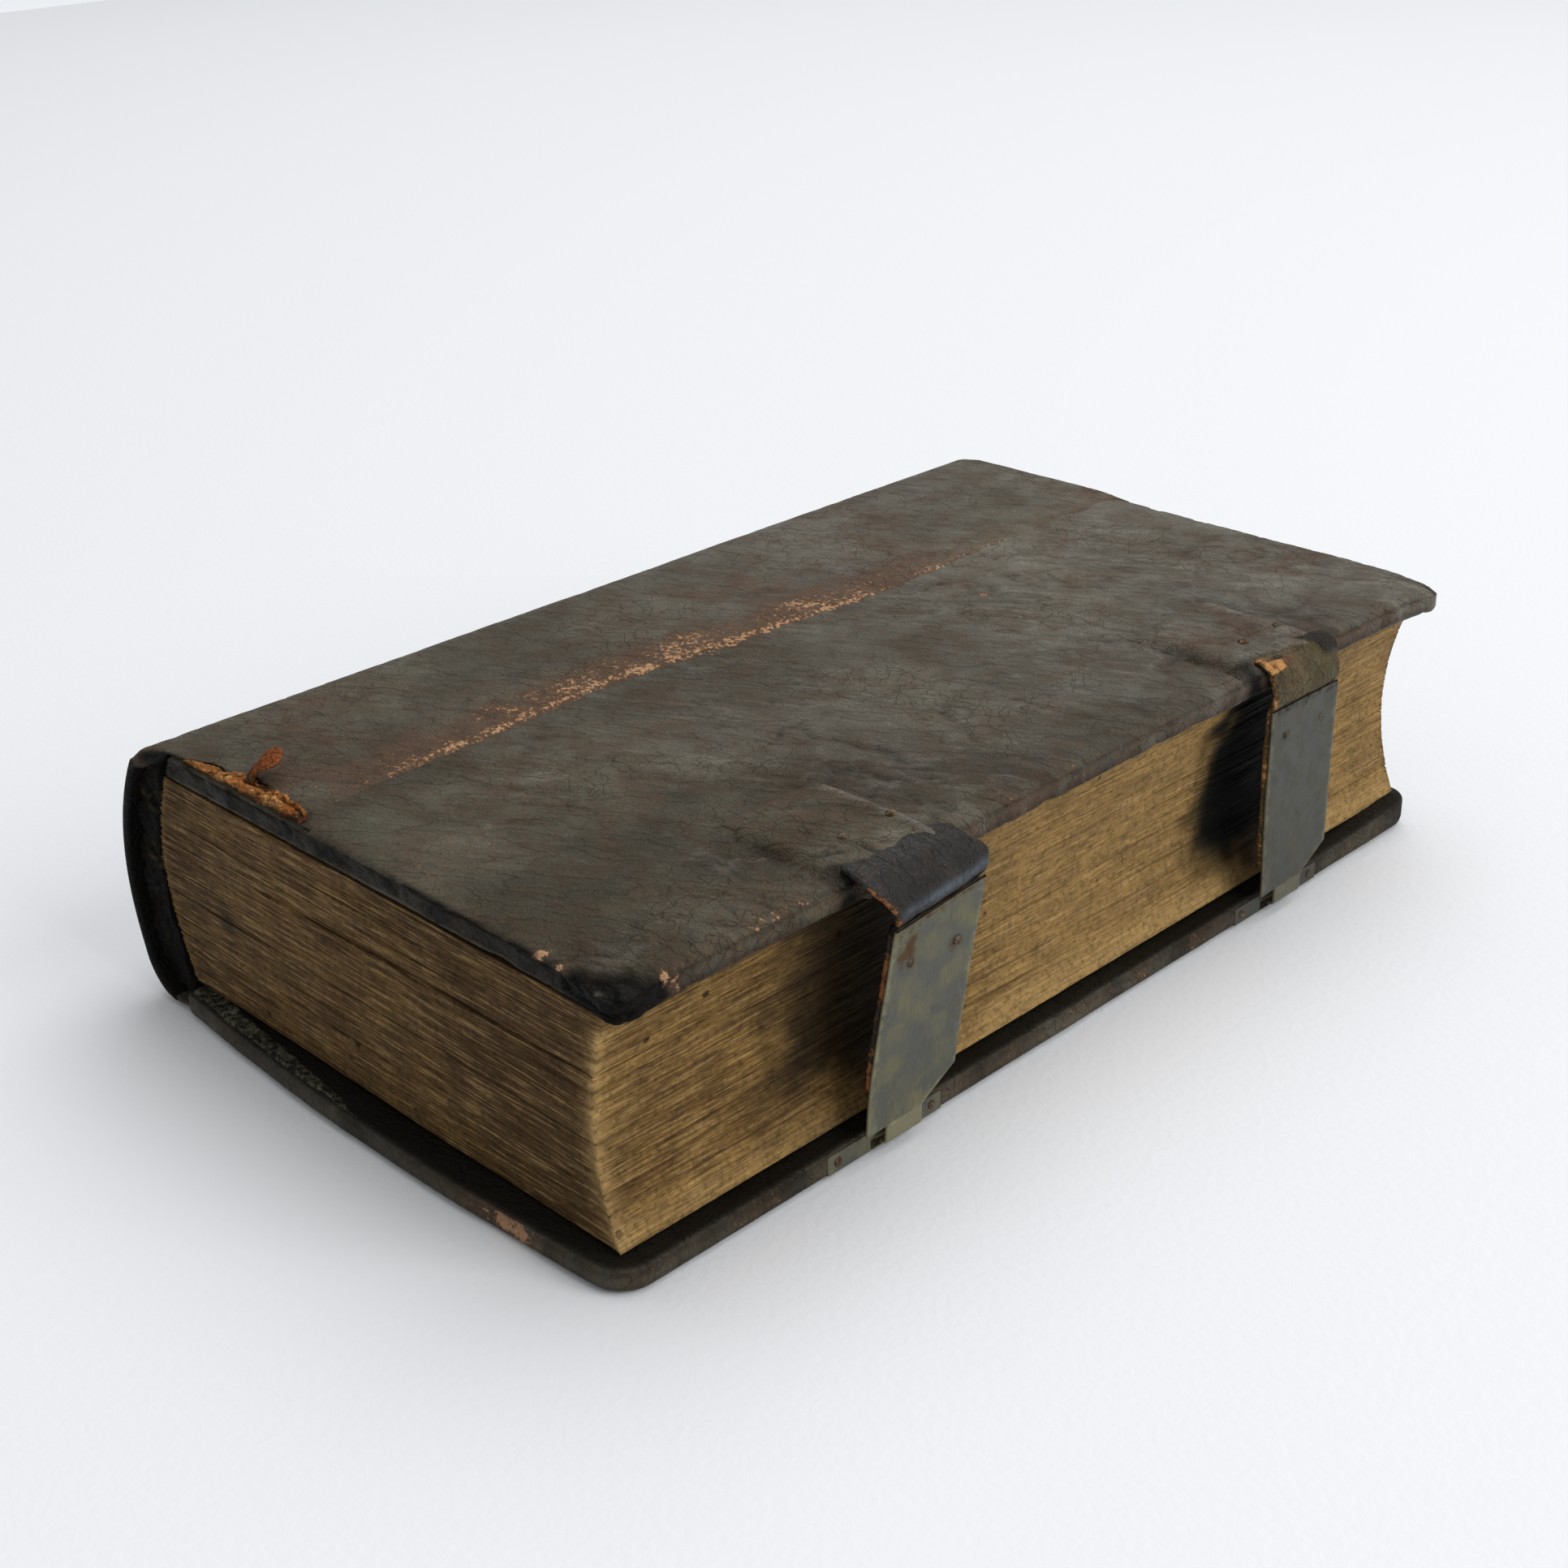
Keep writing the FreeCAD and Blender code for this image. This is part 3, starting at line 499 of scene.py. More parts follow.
def edgeProfile(thickness):
    # outward reach, drop, and tilt of the normal against distance s from the middle
    zone, top, foot = skin["zone"], skin["topRound"], skin["footRound"]
    turn = np.linspace(0, math.pi / 2, 24)
    inner = zone - foot - skin["turnIn"]
    reach = [[0.0], zone - top + top * np.sin(turn), zone - foot + foot * np.cos(turn), [inner]]
    drop = [[0.0], top * (1 - np.cos(turn)), thickness - foot + foot * np.sin(turn), [thickness]]
    reach, drop = np.concatenate(reach), np.concatenate(drop)
    tilt = np.concatenate([[0.0], turn, turn + math.pi / 2, [math.pi]])
    s = np.concatenate([[0.0], np.cumsum(np.hypot(np.diff(reach), np.diff(drop)))])
    return s, reach, drop, tilt


def sheetStations(start, end, step, s):
    # places across the sheet: fine over the face and the edges, coarse under the board
    zone = skin["zone"]
    inner = np.arange(start + zone, end - zone, step)
    face = np.arange(0, zone - skin["topRound"], step)
    side = np.arange(zone - skin["topRound"], s[-2], skin["edgeStep"])
    beyond = np.concatenate([face, side, np.linspace(s[-2], s[-1], 6)])
    return np.concatenate([(start + zone) - beyond[::-1], inner[1:], (end - zone) + beyond])


def skinGrid(edges, step, heightAt):
    # points of the sheet, worked out flat and then raised along the normal by heightAt's height
    x0, x1, y0, y1 = edges
    s, *parts = edgeProfile(cover["thickness"])
    zone = skin["zone"]
    u = sheetStations(x0, x1, step, s)[:, None]
    v = sheetStations(y0, y1, step, s)[None, :]
    coreX, coreY = np.clip(u, x0 + zone, x1 - zone), np.clip(v, y0 + zone, y1 - zone)
    a, b = np.abs(u - coreX), np.abs(v - coreY)
    signX, signY = np.sign(u - coreX), np.sign(v - coreY)
    away = np.maximum(a, b)
    low = np.minimum(a, b) / np.where(away > 0, away, 1.0)
    corner = np.where(signX > 0, cover["foreCorner"], cover["jointCorner"]) / zone
    bend = np.clip((low - (1 - corner)) / corner, 0, 1) * math.pi / 4
    inCorner = low > 1 - corner
    far = np.where(inCorner, 1 - corner + corner * np.cos(bend), np.where(away > 0, 1.0, 0.0))
    near = np.where(inCorner, 1 - corner + corner * np.sin(bend), low)
    goX, goY = np.where(a >= b, far, near), np.where(a >= b, near, far)
    reach, drop, tilt = (np.interp(away, s, part) for part in parts)
    x, y = coreX + signX * goX * reach, coreY + signY * goY * reach
    place = {"x": x, "y": y, "s": away, "tilt": tilt, "drop": drop}
    height, sink, values = heightAt(place)
    length = np.maximum(np.hypot(goX, goY), 1e-6)
    x = x + signX * goX / length * np.sin(tilt) * height
    y = y + signY * goY / length * np.sin(tilt) * height
    return np.stack([x, y, -drop - sink + np.cos(tilt) * height], axis=-1), values


def wrinkledFace(marks, x, y):
    # long wrinkles run slantwise over the cover, closer together in some places, with ridges between; the folds
    # are painted dark as shade and the ridges pale as highlights
    bend = 1.8 * layered(x, y, 18.0, 27, 2)
    along, over = x * 0.88 + y * 0.47, y * 0.88 - x * 0.47 + bend
    there = 0.25 + 0.75 * smooth(-0.25, 0.45, layered(x, y, 21.0, 12))
    broad = creases(x, y, 13.0, 21, 13.0) * smooth(-0.2, 0.4, layered(x, y, 30.0, 9))
    folds = creases(along * 0.3, over, 2.7, 44, 7.0) * there
    fine = creases(along * 0.45, over, 1.6, 47, 6.0) * smooth(-0.3, 0.4, layered(x, y, 16.0, 51))
    ridges = creases(along * 0.35 + 9.0, over + 4.0, 3.4, 49, 9.0) * there
    swell = 0.12 * layered(x, y, 26.0, 2) + 0.05 * layered(x, y, 7.0, 5)
    # painted sheen: the face is lighter towards the head and the spine, with a random pale tone laid over it
    pale = 0.34 * smooth(8, 55, y + 0.4 * (42 - x)) + 0.4 * smooth(60, 150, y)
    pale = pale + 0.3 * layered(x, y, 17.0, 83, 3)
    ruddy = 0.4 * smooth(-0.05, 0.6, layered(x, y, 21.0, 61)) + 0.3 * smooth(0.1, 0.5, layered(x, y, 6.0, 67))
    addMarks(marks, height=swell - 0.32 * broad - 0.24 * folds - 0.09 * fine + 0.1 * ridges,
             fold=0.85 * broad + 0.75 * folds + 0.35 * fine, bloom=pale + 0.5 * ridges - 0.15,
             wear=0.2 + 0.14 * layered(x, y, 12.0, 57, 3), ruddy=ruddy)


def moundShape(x, y, clasp):
    # the raised leather over a strap end: a low block with soft flanks, and its distance from the middle line
    lean = math.tan(math.radians(clasp["lean"])) * 0.5
    wander = 0.55 * layered(x, y, 6.0, 31 + clasp["seed"], 3)
    offset = y - (clasp["y"] - 2.6 + lean * (x - 84))
    headSide = smooth(0, 2.3, 9.0 - offset + wander)
    tailSide = smooth(0, 2.2, 8.3 + offset + wander)
    spineSide = smooth(0, 2.6, x - 64.8 + wander - 0.02 * np.abs(offset) ** 1.5)
    return headSide * tailSide * spineSide, offset + wander * 0.5


tornPlaces = {1: ([33, 35, 40, 45, 48.5, 52], [82.0, 83.2, 85.0, 85.8, 87.0, 88.0]),
              2: ([104, 108, 112, 116, 120, 125], [81.0, 82.6, 83.4, 84.6, 85.6, 86.8])}


def raisedPlace(marks, x, y, outer, clasp):
    # the mound over a strap end, its leather torn off along a ragged line, and the wrinkles pulled round it;
    # its rim has a painted highlight, and its crease, torn line and the pulled wrinkles beside it painted
    # shade; the second mound's rim also gets rubbed colour
    second = clasp["number"] == 2
    mound, offset = moundShape(x, y, clasp)
    torn = np.interp(y, *tornPlaces[clasp["number"]])
    torn = torn + 0.9 * layered(y, y * 0 + clasp["number"], 3.0, 77 + clasp["seed"], 4)
    kept = 1 - smooth(-0.25, 0.25, x - torn)
    wrinkle = creases(x + 0.4 * offset, y * 1.3, 2.6, 90 + clasp["seed"], 6.0) * smooth(70, 80, x)
    rim = hill(offset, 6.7, 0.6) * smooth(66, 69, x) * outer * kept
    crease = hill(offset, -8.2, 0.65) * smooth(67, 74, x) * outer
    near = spot(x, np.abs(offset), 74, 9, 13, 8) * outer * smooth(0.25, 0.0, mound)
    pulled = creases(x * 0.55 - y * 0.2, (y + x * 0.3) * 0.6, 2.6, 130 + clasp["seed"], 7.0)
    raised = creases(x * 0.5, y * 0.8 + x * 0.1, 3.2, 140 + clasp["seed"], 8.0)
    height = mound * kept * (0.86 - 0.2 * wrinkle) + 0.26 * rim - (0.5 if second else 0.32) * crease
    fold = 0.45 * near + 0.8 * near * pulled + 0.9 * crease + 0.35 * mound * kept * wrinkle
    # beside the strap, on its tail side, a hollow is painted near-black as shade
    addMarks(marks, height=height + near * (0.3 * raised - 0.4 * pulled),
             fold=fold + 0.9 * hill(x, torn - 0.1, 0.45) * mound,
             bloom=0.8 * rim + 0.7 * near * raised + 0.4 * hill(x, torn - 1.2, 0.8) * mound,
             wear=(0.3 if second else 0.0) * rim * smooth(74, 80, x),
             ruddy=0.4 * mound * smooth(81, 74, x) * kept,
             soot=0.9 * hill(y, clasp["y"] - 9.2, 1.5) * smooth(80.5, 84, x))


def wornEdges(marks, place, outer):
    # rubbed edges, with painted shade on their sides; beyond a slanting line the near corner is broken away to
    # a rough hollow, painted near-black as shade
    x, y, s, tilt, drop = (place[key] for key in ("x", "y", "s", "tilt", "drop"))
    frayed = layered(x, y, 3.0, 15, 3)
    rough = layered(x, y + drop, 1.7, 19, 4)
    edge = smooth(8.6, 11.6, s) * outer
    side = smooth(0.7, 1.3, tilt) * (1 - smooth(1.9, 2.4, tilt))
    tailSide = side * smooth(3.5, 2.2, y)
    foreSide = side * smooth(83.4, 84.4, x) * (1 - tailSide)
    broken = smooth(0.0, 0.9, (x - 75.2) * 0.598 - (y - 2.0) * 0.803 + 0.9 * layered(x, y, 3.0, 17, 4))
    bare = spot(x, y, 72.4, 2.6, 0.8, 0.7) + spot(x, y, 75.5, 2.4, 0.5, 0.4)
    shown = 1 - 0.85 * outer * np.clip(bare, 0, 1)
    scar = foreSide * hill(y, 9.4, 1.0)
    height = side * 0.2 * layered(x * 1.1, y * 1.1, 5.0, 33, 4) - 0.22 * edge * smooth(0.0, 0.7, frayed)
    height = height + tailSide * (0.45 * layered(x * 1.2, drop * 1.5, 2.2, 37, 4) - 0.2)
    height = height + side * broken * (0.7 * rough - 0.35) - 0.22 * spot(x, y, 66.0, 2.8, 1.9, 1.2)
    wear = edge * (0.08 + 0.34 * frayed) * smooth(55, 84, x + 12 * layered(x, y, 20.0, 8)) * smooth(40, 60, x)
    wear = wear + 1.1 * (1 - shown) + 0.8 * outer * spot(x, y, 84.3, 8.6, 0.6, 0.6)
    wear = wear + 0.6 * spot(x, y, 40.8, 106.7, 1.1, 0.8) + 0.5 * scar
    # painted shade: the broken hollow, the tail side and the top rim near the tail are painted near-black; the
    # fore side is painted dark, less so along the middle of its height as a painted highlight; the raised lumps
    # of the broken corner are painted lighter as highlights
    soot = 0.97 * broken * (1 - 0.5 * smooth(0.35, 0.6, rough)) * (1 - 0.8 * scar)
    soot = soot + tailSide * (0.86 + 0.3 * layered(x, drop * 2, 3.5, 39, 3)) * shown
    soot = soot + 0.75 * smooth(11.2, 11.9, s) * outer * smooth(4.0, 2.4, y) * smooth(-0.2, 0.3, frayed) * shown
    soot = soot + foreSide * (0.5 - 0.5 * hill(drop, 1.8, 0.8) + 0.3 * frayed)
    addMarks(marks, height=height, wear=wear, bloom=0.8 * broken * smooth(0.3, 0.6, rough), soot=soot,
             ruddy=0.45 * foreSide)
    # both fore corners droop, the near one most where it is broken
    near = spot(x, y, book["foreEdge"], book["frontTail"], 9, 8)
    far = spot(x, y, book["foreEdge"], book["frontHead"], 6, 5)
    sink = outer * (0.35 * smooth(7.5, 12.0, s) + 0.5 * near + 0.75 * far + broken * (1.15 + 0.8 * rough))
    return sink + 0.3 * near + 0.5 * far * smooth(6, 12, s) + 1.5 * spot(x, y, 85.2, 1.6, 2.3, 2.6)


def frontHeight(place):
    # the outer face of the front cover as a height over the flat board, and the marks that its look reads
    x, y = place["x"], place["y"]
    outer = 1 - smooth(0.9, 1.5, place["tilt"])
    marks = dict.fromkeys(("height", "fold", "wear", "ruddy", "soot", "bloom"), 0 * x)
    wrinkledFace(marks, x, y)
    for clasp in clasps:
        raisedPlace(marks, x, y, outer, clasp)
    # two slits painted near-black as shade, and a patch of pale fibres in the torn leather of the first clasp
    slit = hill(y, 39.8 + 0.1 * (x - 83), 0.35) * hill(x, 82.6, 1.5)
    slit = slit + 0.8 * hill(x - 0.4 * (y - 36), 80.4, 0.4) * hill(y, 36.0, 1.6)
    addMarks(marks, height=-0.5 * slit, soot=0.95 * np.clip(slit, 0, 1),
             bloom=0.9 * spot(x, y, 81.9, 43.4, 1.1, 1.9))
    sink = wornEdges(marks, place, outer)
    marks["fold"] = marks["fold"] * outer
    height = marks.pop("height")
    return height, sink, lookValues(marks)


frontEdges = (cover["start"], book["foreEdge"], book["frontTail"], book["frontHead"])
points, values = skinGrid(frontEdges, skin["frontStep"], frontHeight)
points[..., 2] += book["top"]
# the far corner stands out, and the near one is pushed out where it is torn
points[..., 0] += 1.0 * smooth(140, 151, points[..., 1]) * smooth(70, 84, points[..., 0])
torn = 0.9 * spot(points[..., 0], points[..., 1], 84.2, 2.6, 2.4, 2.4)
points[..., 0] += 0.5 * torn
points[..., 1] -= torn
frontSkin = makeMesh("front_cover_skin", points, leather, values, closed=False)
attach(frontSkin, "front_cover")
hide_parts("front_leather", "front_board")
print("front cover skin", points.shape[:2])


def bowAt(x):
    # how far the tail edge of the back cover bows out, most in its middle
    return 2.0 * np.clip(1 - ((x - 42.5) / 42.5) ** 2, 0, 1)


def backHeight(place):
    # the back cover: the same leather, flat on the table, its edges rubbed
    x, y, s, tilt, drop = (place[key] for key in ("x", "y", "s", "tilt", "drop"))
    outer = 1 - smooth(0.5, 1.0, tilt)
    side = smooth(0.7, 1.3, tilt) * (1 - smooth(1.9, 2.4, tilt))
    frayed = layered(x, y, 3.2, 45, 3)
    height = -0.06 - 0.05 * outer * (1 + layered(x, y, 14.0, 82)) - 0.08 * outer * creases(x, y, 9.0, 58, 10.0)
    height = height + side * 0.16 * layered(x, y, 6.0, 53, 4)
    # hollows behind the catch plates, which the hooks reach when the clasps are pressed home
    for clasp in clasps:
        low, high = nodeBox("catch_plate_%d" % clasp["number"])
        across = smooth(low[1] + 0.1, low[1] + 0.7, y) * smooth(high[1] - 0.1, high[1] - 0.7, y)
        upright = smooth(low[2] + 0.05, low[2] + 0.4, drop) * smooth(high[2] - 0.05, high[2] - 0.4, drop)
        height = height - 1.3 * across * upright * side * (x > 80)
    patch = spot(x, y, 66.0, -1.0, 4.5, 3.0)
    height = height - 0.3 * side * patch
    onEdge = side + smooth(10.0, 11.8, s) * (1 - smooth(0.7, 1.2, tilt))
    wear = onEdge * (0.28 + 0.4 * frayed) * smooth(30, 84, x) + (0.62 + 0.5 * frayed) * patch * side
    ruddy = 0.4 * smooth(0.0, 0.6, layered(x, y, 16.0, 69)) + 0.15 * side
    # painted shade: the sides are painted dark, less so along the middle of their height and darker towards the
    # head, and the inner face under the board near-black, as the shade in the gap beside the leaves
    soot = side * (0.35 + 0.35 * smooth(0.0, 0.5, layered(x, y, 5.0, 99)) - 0.3 * hill(drop, 1.6, 0.7))
    soot = soot + 0.5 * side * smooth(138, 148, y) + 0.92 * smooth(2.0, 2.6, tilt)
    return height, 0 * x, lookValues({"wear": wear, "ruddy": ruddy, "soot": np.minimum(soot, 0.9)})


backEdges = (cover["start"], book["foreEdge"], book["backTail"], book["backHead"])
points, values = skinGrid(backEdges, skin["backStep"], backHeight)
points[..., 1] -= bowAt(points[..., 0]) * (1 - smooth(0, 34, points[..., 1]))
points[..., 2] = -points[..., 2]
# its far corner is lifted, and nothing reaches below the table
lift = 0.9 * spot(points[..., 0], points[..., 1], book["foreEdge"], book["backHead"], 10, 10)
points[..., 2] += lift * smooth(1.0, 3.6, points[..., 2] + 1.0)
points[..., 2] = np.maximum(points[..., 2], skin["tableGap"])
backSkin = makeMesh("back_cover_skin", points, leather, values, closed=False, flip=True)
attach(backSkin, "back_cover")
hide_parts("back_leather")
print("back cover skin", points.shape[:2])


# Leaves. Every row of the grid is one leaf edge, a loop round the block that stands out or back by its own
# amount; the loop's fore-edge is hollow and its back is round, and all leaves wave gently together.
leaves = {"rows": 196, "alongStep": 1.15, "tail": 2.2, "head": 148.4, "back": -0.8, "fore": 82.2, "round": 3.5,
          "hollow": 3.0, "gathering": 14, "crack": 0.70}


def hollowAt(t):
    # an arc between foot and top of the block: 0 at both, 1 in the middle
    return 1 - (2 * t - 1) ** 2


def cornerShare(count):
    # stations from 0 to 1, finer near both ends, where the block has its sharp corners
    even = np.linspace(0, 1, count, endpoint=False)
    return 0.35 * (0.5 - 0.5 * np.cos(math.pi * even)) + 0.65 * even


def leafBlock():
    tail, width, length = leaves["tail"], leaves["fore"] - leaves["back"], leaves["head"] - leaves["tail"]
    sx, sy = cornerShare(int(width / leaves["alongStep"])), cornerShare(int(length / leaves["alongStep"]))
    loopX = np.concatenate([sx, 0 * sy + 1, 1 - sx, 0 * sy])[None, :]
    loopY = np.concatenate([0 * sx, sy, 0 * sx + 1, 1 - sy])[None, :]
    outX = np.concatenate([0 * sx, 0 * sy + 1, 0 * sx, 0 * sy - 1])[None, :]
    outY = np.concatenate([0 * sx - 1, 0 * sy, 0 * sx + 1, 0 * sy])[None, :]
    along = np.concatenate([sx * width, width + sy * length, width + length + sx * width,
                            2 * width + length + sy * length])[None, :]
    row = np.arange(leaves["rows"])[:, None]
    t = row / (leaves["rows"] - 1)
    tall = book["leafTop"] - book["leafFoot"]
    back = leaves["back"] - leaves["round"] * hollowAt(t)
    fore = leaves["fore"] - leaves["hollow"] * hollowAt(t)
    x = back + (fore - back) * loopX
    y = tail + length * loopY + 0 * t
    # how far each leaf stands out; a gathering's first leaf lies back where the gathering has opened
    gathering = row // leaves["gathering"]
    first = np.mod(row + 3 * (latticeNumber(gathering, 0 * row, 23) - 0.5), leaves["gathering"]) < 1
    gather = np.where(first, -0.35, 0.0)
    opened = smooth(-0.3, 0.6, softNoise(along / 16, gathering * 1.7, 31))
    stand = 0.12 * (latticeNumber(row, 0 * row, 5) - 0.5) + 0.09 * softNoise(along / 14, row * 0.73, 14)
    stand = stand + 0.05 * softNoise(along / 3.0, row * 1.0, 19) + gather * opened - 0.05
    # the long gap that has opened between two gatherings at the tail
    crack = hill(t, leaves["crack"] + 0.035 * (loopX - 0.5), 0.006) * smooth(0.22, 0.4, loopX) * (outY < 0)
    stand = stand - 0.9 * crack + 0.16 * softNoise(along / 22, t * 5, 41)
    stand = np.where((row == 0) | (row == leaves["rows"] - 1), -0.15, stand)
    x = x + outX * stand
    y = y + outY * stand
    wave = 0.26 * softNoise(along / 34, t * 2.2, 52) + 0.05 * softNoise(along / 11, t * 7, 57)
    z = book["leafFoot"] + tall * t + hollowAt(t) ** 0.5 * wave * np.clip(4 * t * (1 - t), 0, 1)
    atFore = (outX > 0) + 0 * t
    # painted shade beside both straps, in the gap between gatherings and in the opened gatherings, and one dark
    # smudge at the tail
    soot = np.maximum(0.92 * crack, 0.9 * (gather < 0) * opened * 0.55)
    for strapSide, reach, strength in ((35.6, 15.0, 0.84), (108.8, 8.2, 1.0)):
        tailward = strapSide - 1.0 + 3.0 * (t - 0.5) - y
        ragged = 3.2 * softNoise(y / 5, t * 5, 63) + 1.6 * softNoise(y / 2, t * 12, 64)
        blot = smooth(reach, reach * 0.12, tailward + ragged) * smooth(-0.05, 0.3, t + 0.03 * ragged)
        blot = blot * (y < strapSide + 15) * smooth(-16.0, -13.0, tailward)
        soot = np.maximum(soot, strength * blot * atFore)
    soot = np.maximum(soot, 0.75 * spot(x, z, 9.5, 16.0, 2.6, 2.2) * (outY < 0))
    browned = 0.5 + 0.35 * smooth(-0.2, 0.5, layered(x, z, 12.0, 73)) + 0.12 * smooth(30, 70, x)
    foxed = smooth(-0.1, 0.6, layered(y, z, 12.0, 79)) * smooth(0.05, 0.3, t)
    age = (outY < 0) * browned + 0.3 * atFore * foxed
    worn = np.exp(-np.abs(along - width) / 1.1) * (0.75 + 0.35 * softNoise(row * 0.3, 0 * row, 88))
    worn = worn * smooth(0.02, 0.12, 1.01 - t) + 0.35 * hill(along, 0.0, 1.0)
    worn = worn + 0.35 * smooth(0.16, 0.02, t) * atFore + 0.28 * atFore * smooth(44, 70, y)
    values = {"soot": np.clip(soot, 0, 1), "age": np.clip(age, 0, 0.8), "wear": np.clip(worn, 0, 1)}
    points = np.stack([x, y, z], axis=-1)
    uv = np.stack([along * 0.001 + 0 * t, tall * t * 0.001 + 0 * x], axis=-1)
    # the top and the foot: the last loop shrinks towards the middle of the block, ring by ring
    rings = np.array([0.985, 0.95, 0.85, 0.7, 0.5, 0.3, 0.12, 0.02, 0.0003])[:, None, None]
    middle = np.array([(leaves["back"] + leaves["fore"]) / 2, (tail + leaves["head"]) / 2, 0.0])
    flat = np.array([1, 1, 0])
    for edge, foot in ((points[-1], False), (points[0], True)):
        ring = middle + (edge - middle) * rings * flat + edge * (1 - flat)
        wavy = 0.05 * softNoise(ring[..., 0] / 20, ring[..., 1] / 20, 91)
        ring[..., 2] = edge[..., 2] + (-wavy if foot else wavy)
        plain = np.stack([ring[..., 1] * 0.001, ring[..., 0] * 0.00002], axis=-1)
        blank = np.zeros(ring.shape[:2])
        points = np.concatenate([ring[::-1], points] if foot else [points, ring])
        uv = np.concatenate([plain[::-1], uv] if foot else [uv, plain])
        values = {key: np.concatenate([blank, v] if foot else [v, blank]) for key, v in values.items()}
    return points, values, uv


points, values, uv = leafBlock()
leafPiece = makeMesh("leaves", points, leafEdge, values, uv, flip=True)
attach(leafPiece, "text_block")
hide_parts("text_block")
print("leaves", points.shape[:2])


def pathStations(line):
    # the length along a line of points, from its start to each point
    return np.concatenate([[0.0], np.cumsum(np.hypot(*np.diff(line, axis=0).T))])


def roundedPath(corners, spacing, softness):
    # a line through corner points, spaced evenly and softened by a running bell
    corners = np.asarray(corners, float)
    step, reach = 0.05, 60
    length = pathStations(corners)
    fine = np.linspace(0, length[-1], int(length[-1] / step))
    line = np.stack([np.interp(fine, length, corners[:, k]) for k in (0, 1)], axis=-1)
    bell = hill(np.arange(-reach, reach + 1) * step, 0, softness)
    bell = bell / bell.sum()
    before = 2 * line[0] - line[reach:0:-1]
    after = 2 * line[-1] - line[-2:-reach - 2:-1]
    padded = np.concatenate([before, line, after])
    line = np.stack([np.convolve(padded[:, k], bell, "valid") for k in (0, 1)], axis=-1)
    length = pathStations(line)
    stations = np.linspace(0, length[-1], max(3, int(length[-1] / spacing)))
    return np.stack([np.interp(stations, length, line[:, k]) for k in (0, 1)], axis=-1)


def arcPoints(start, end, bulge):
    # points on an arc that stands out by bulge to the left of the way from start to end
    start, end = np.asarray(start, float), np.asarray(end, float)
    way = end - start
    side = np.array([-way[1], way[0]]) / np.hypot(*way)
    t = np.linspace(0, 1, 24)[:, None]
    return start + way * t + side * bulge * 4 * t * (1 - t)


def pathNormals(path):
    # unit normals to the left of a path
    along = np.gradient(path, axis=0)
    along = along / np.hypot(along[:, 0], along[:, 1])[:, None]
    return np.stack([-along[:, 1], along[:, 0]], axis=-1)


def rimLoop(low, high, thick, faceCount, rimCount, underCount):
    # once round a flat section: along the outer face, round one rim, back below, round the other rim
    # returns (place along the width, depth below the outer face) for every row of low, high and thick
    turn = np.linspace(0, math.pi, rimCount + 2)[1:-1][None, :]
    radius = thick / 2
    face = np.linspace(0, 1, faceCount)[None, :]
    under = np.linspace(1, 0, underCount)[None, :]
    inner, outer = low + radius, high - radius
    across = np.concatenate([inner + (outer - inner) * face, outer + radius * np.sin(turn),
                             inner + (outer - inner) * under, inner - radius * np.sin(turn)], axis=1)
    depth = np.concatenate([0 * face + 0 * radius, radius * (1 - np.cos(turn)), thick + 0 * under,
                            radius * (1 + np.cos(turn))], axis=1)
    return across, depth


def alongPath(line, normal, across, shift, rise=0.0):
    # points of a band that follows a line in x and z, moved by shift along the line's normal
    x = line[:, 0][:, None] + normal[:, 0][:, None] * shift
    z = line[:, 1][:, None] + normal[:, 1][:, None] * shift + rise
    return np.stack([x, across + 0 * x, z], axis=-1)


# Spine leather: one sheet from the worn line on the front cover over the joint, round the back and under it.
spine = {"thick": 1.4, "tail": 0.2, "head": 151.2, "faceStep": 0.52, "start": 31.5}
backCurve = arcPoints((-5.8, 33.0), (-9.4, 6.5), -2.9)
outline = np.concatenate([
    [[31.5, 36.2], [30.0, 36.35], [28.0, 36.62], [25.5, 36.8], [14.0, 36.82], [2.0, 36.82]],
    arcPoints((0.0, 36.78), (-5.8, 33.0), -0.95), backCurve[1:], arcPoints((-9.4, 6.5), (-4.7, 0.5), -1.1)[1:],
    [[-2.9, 0.75]]])


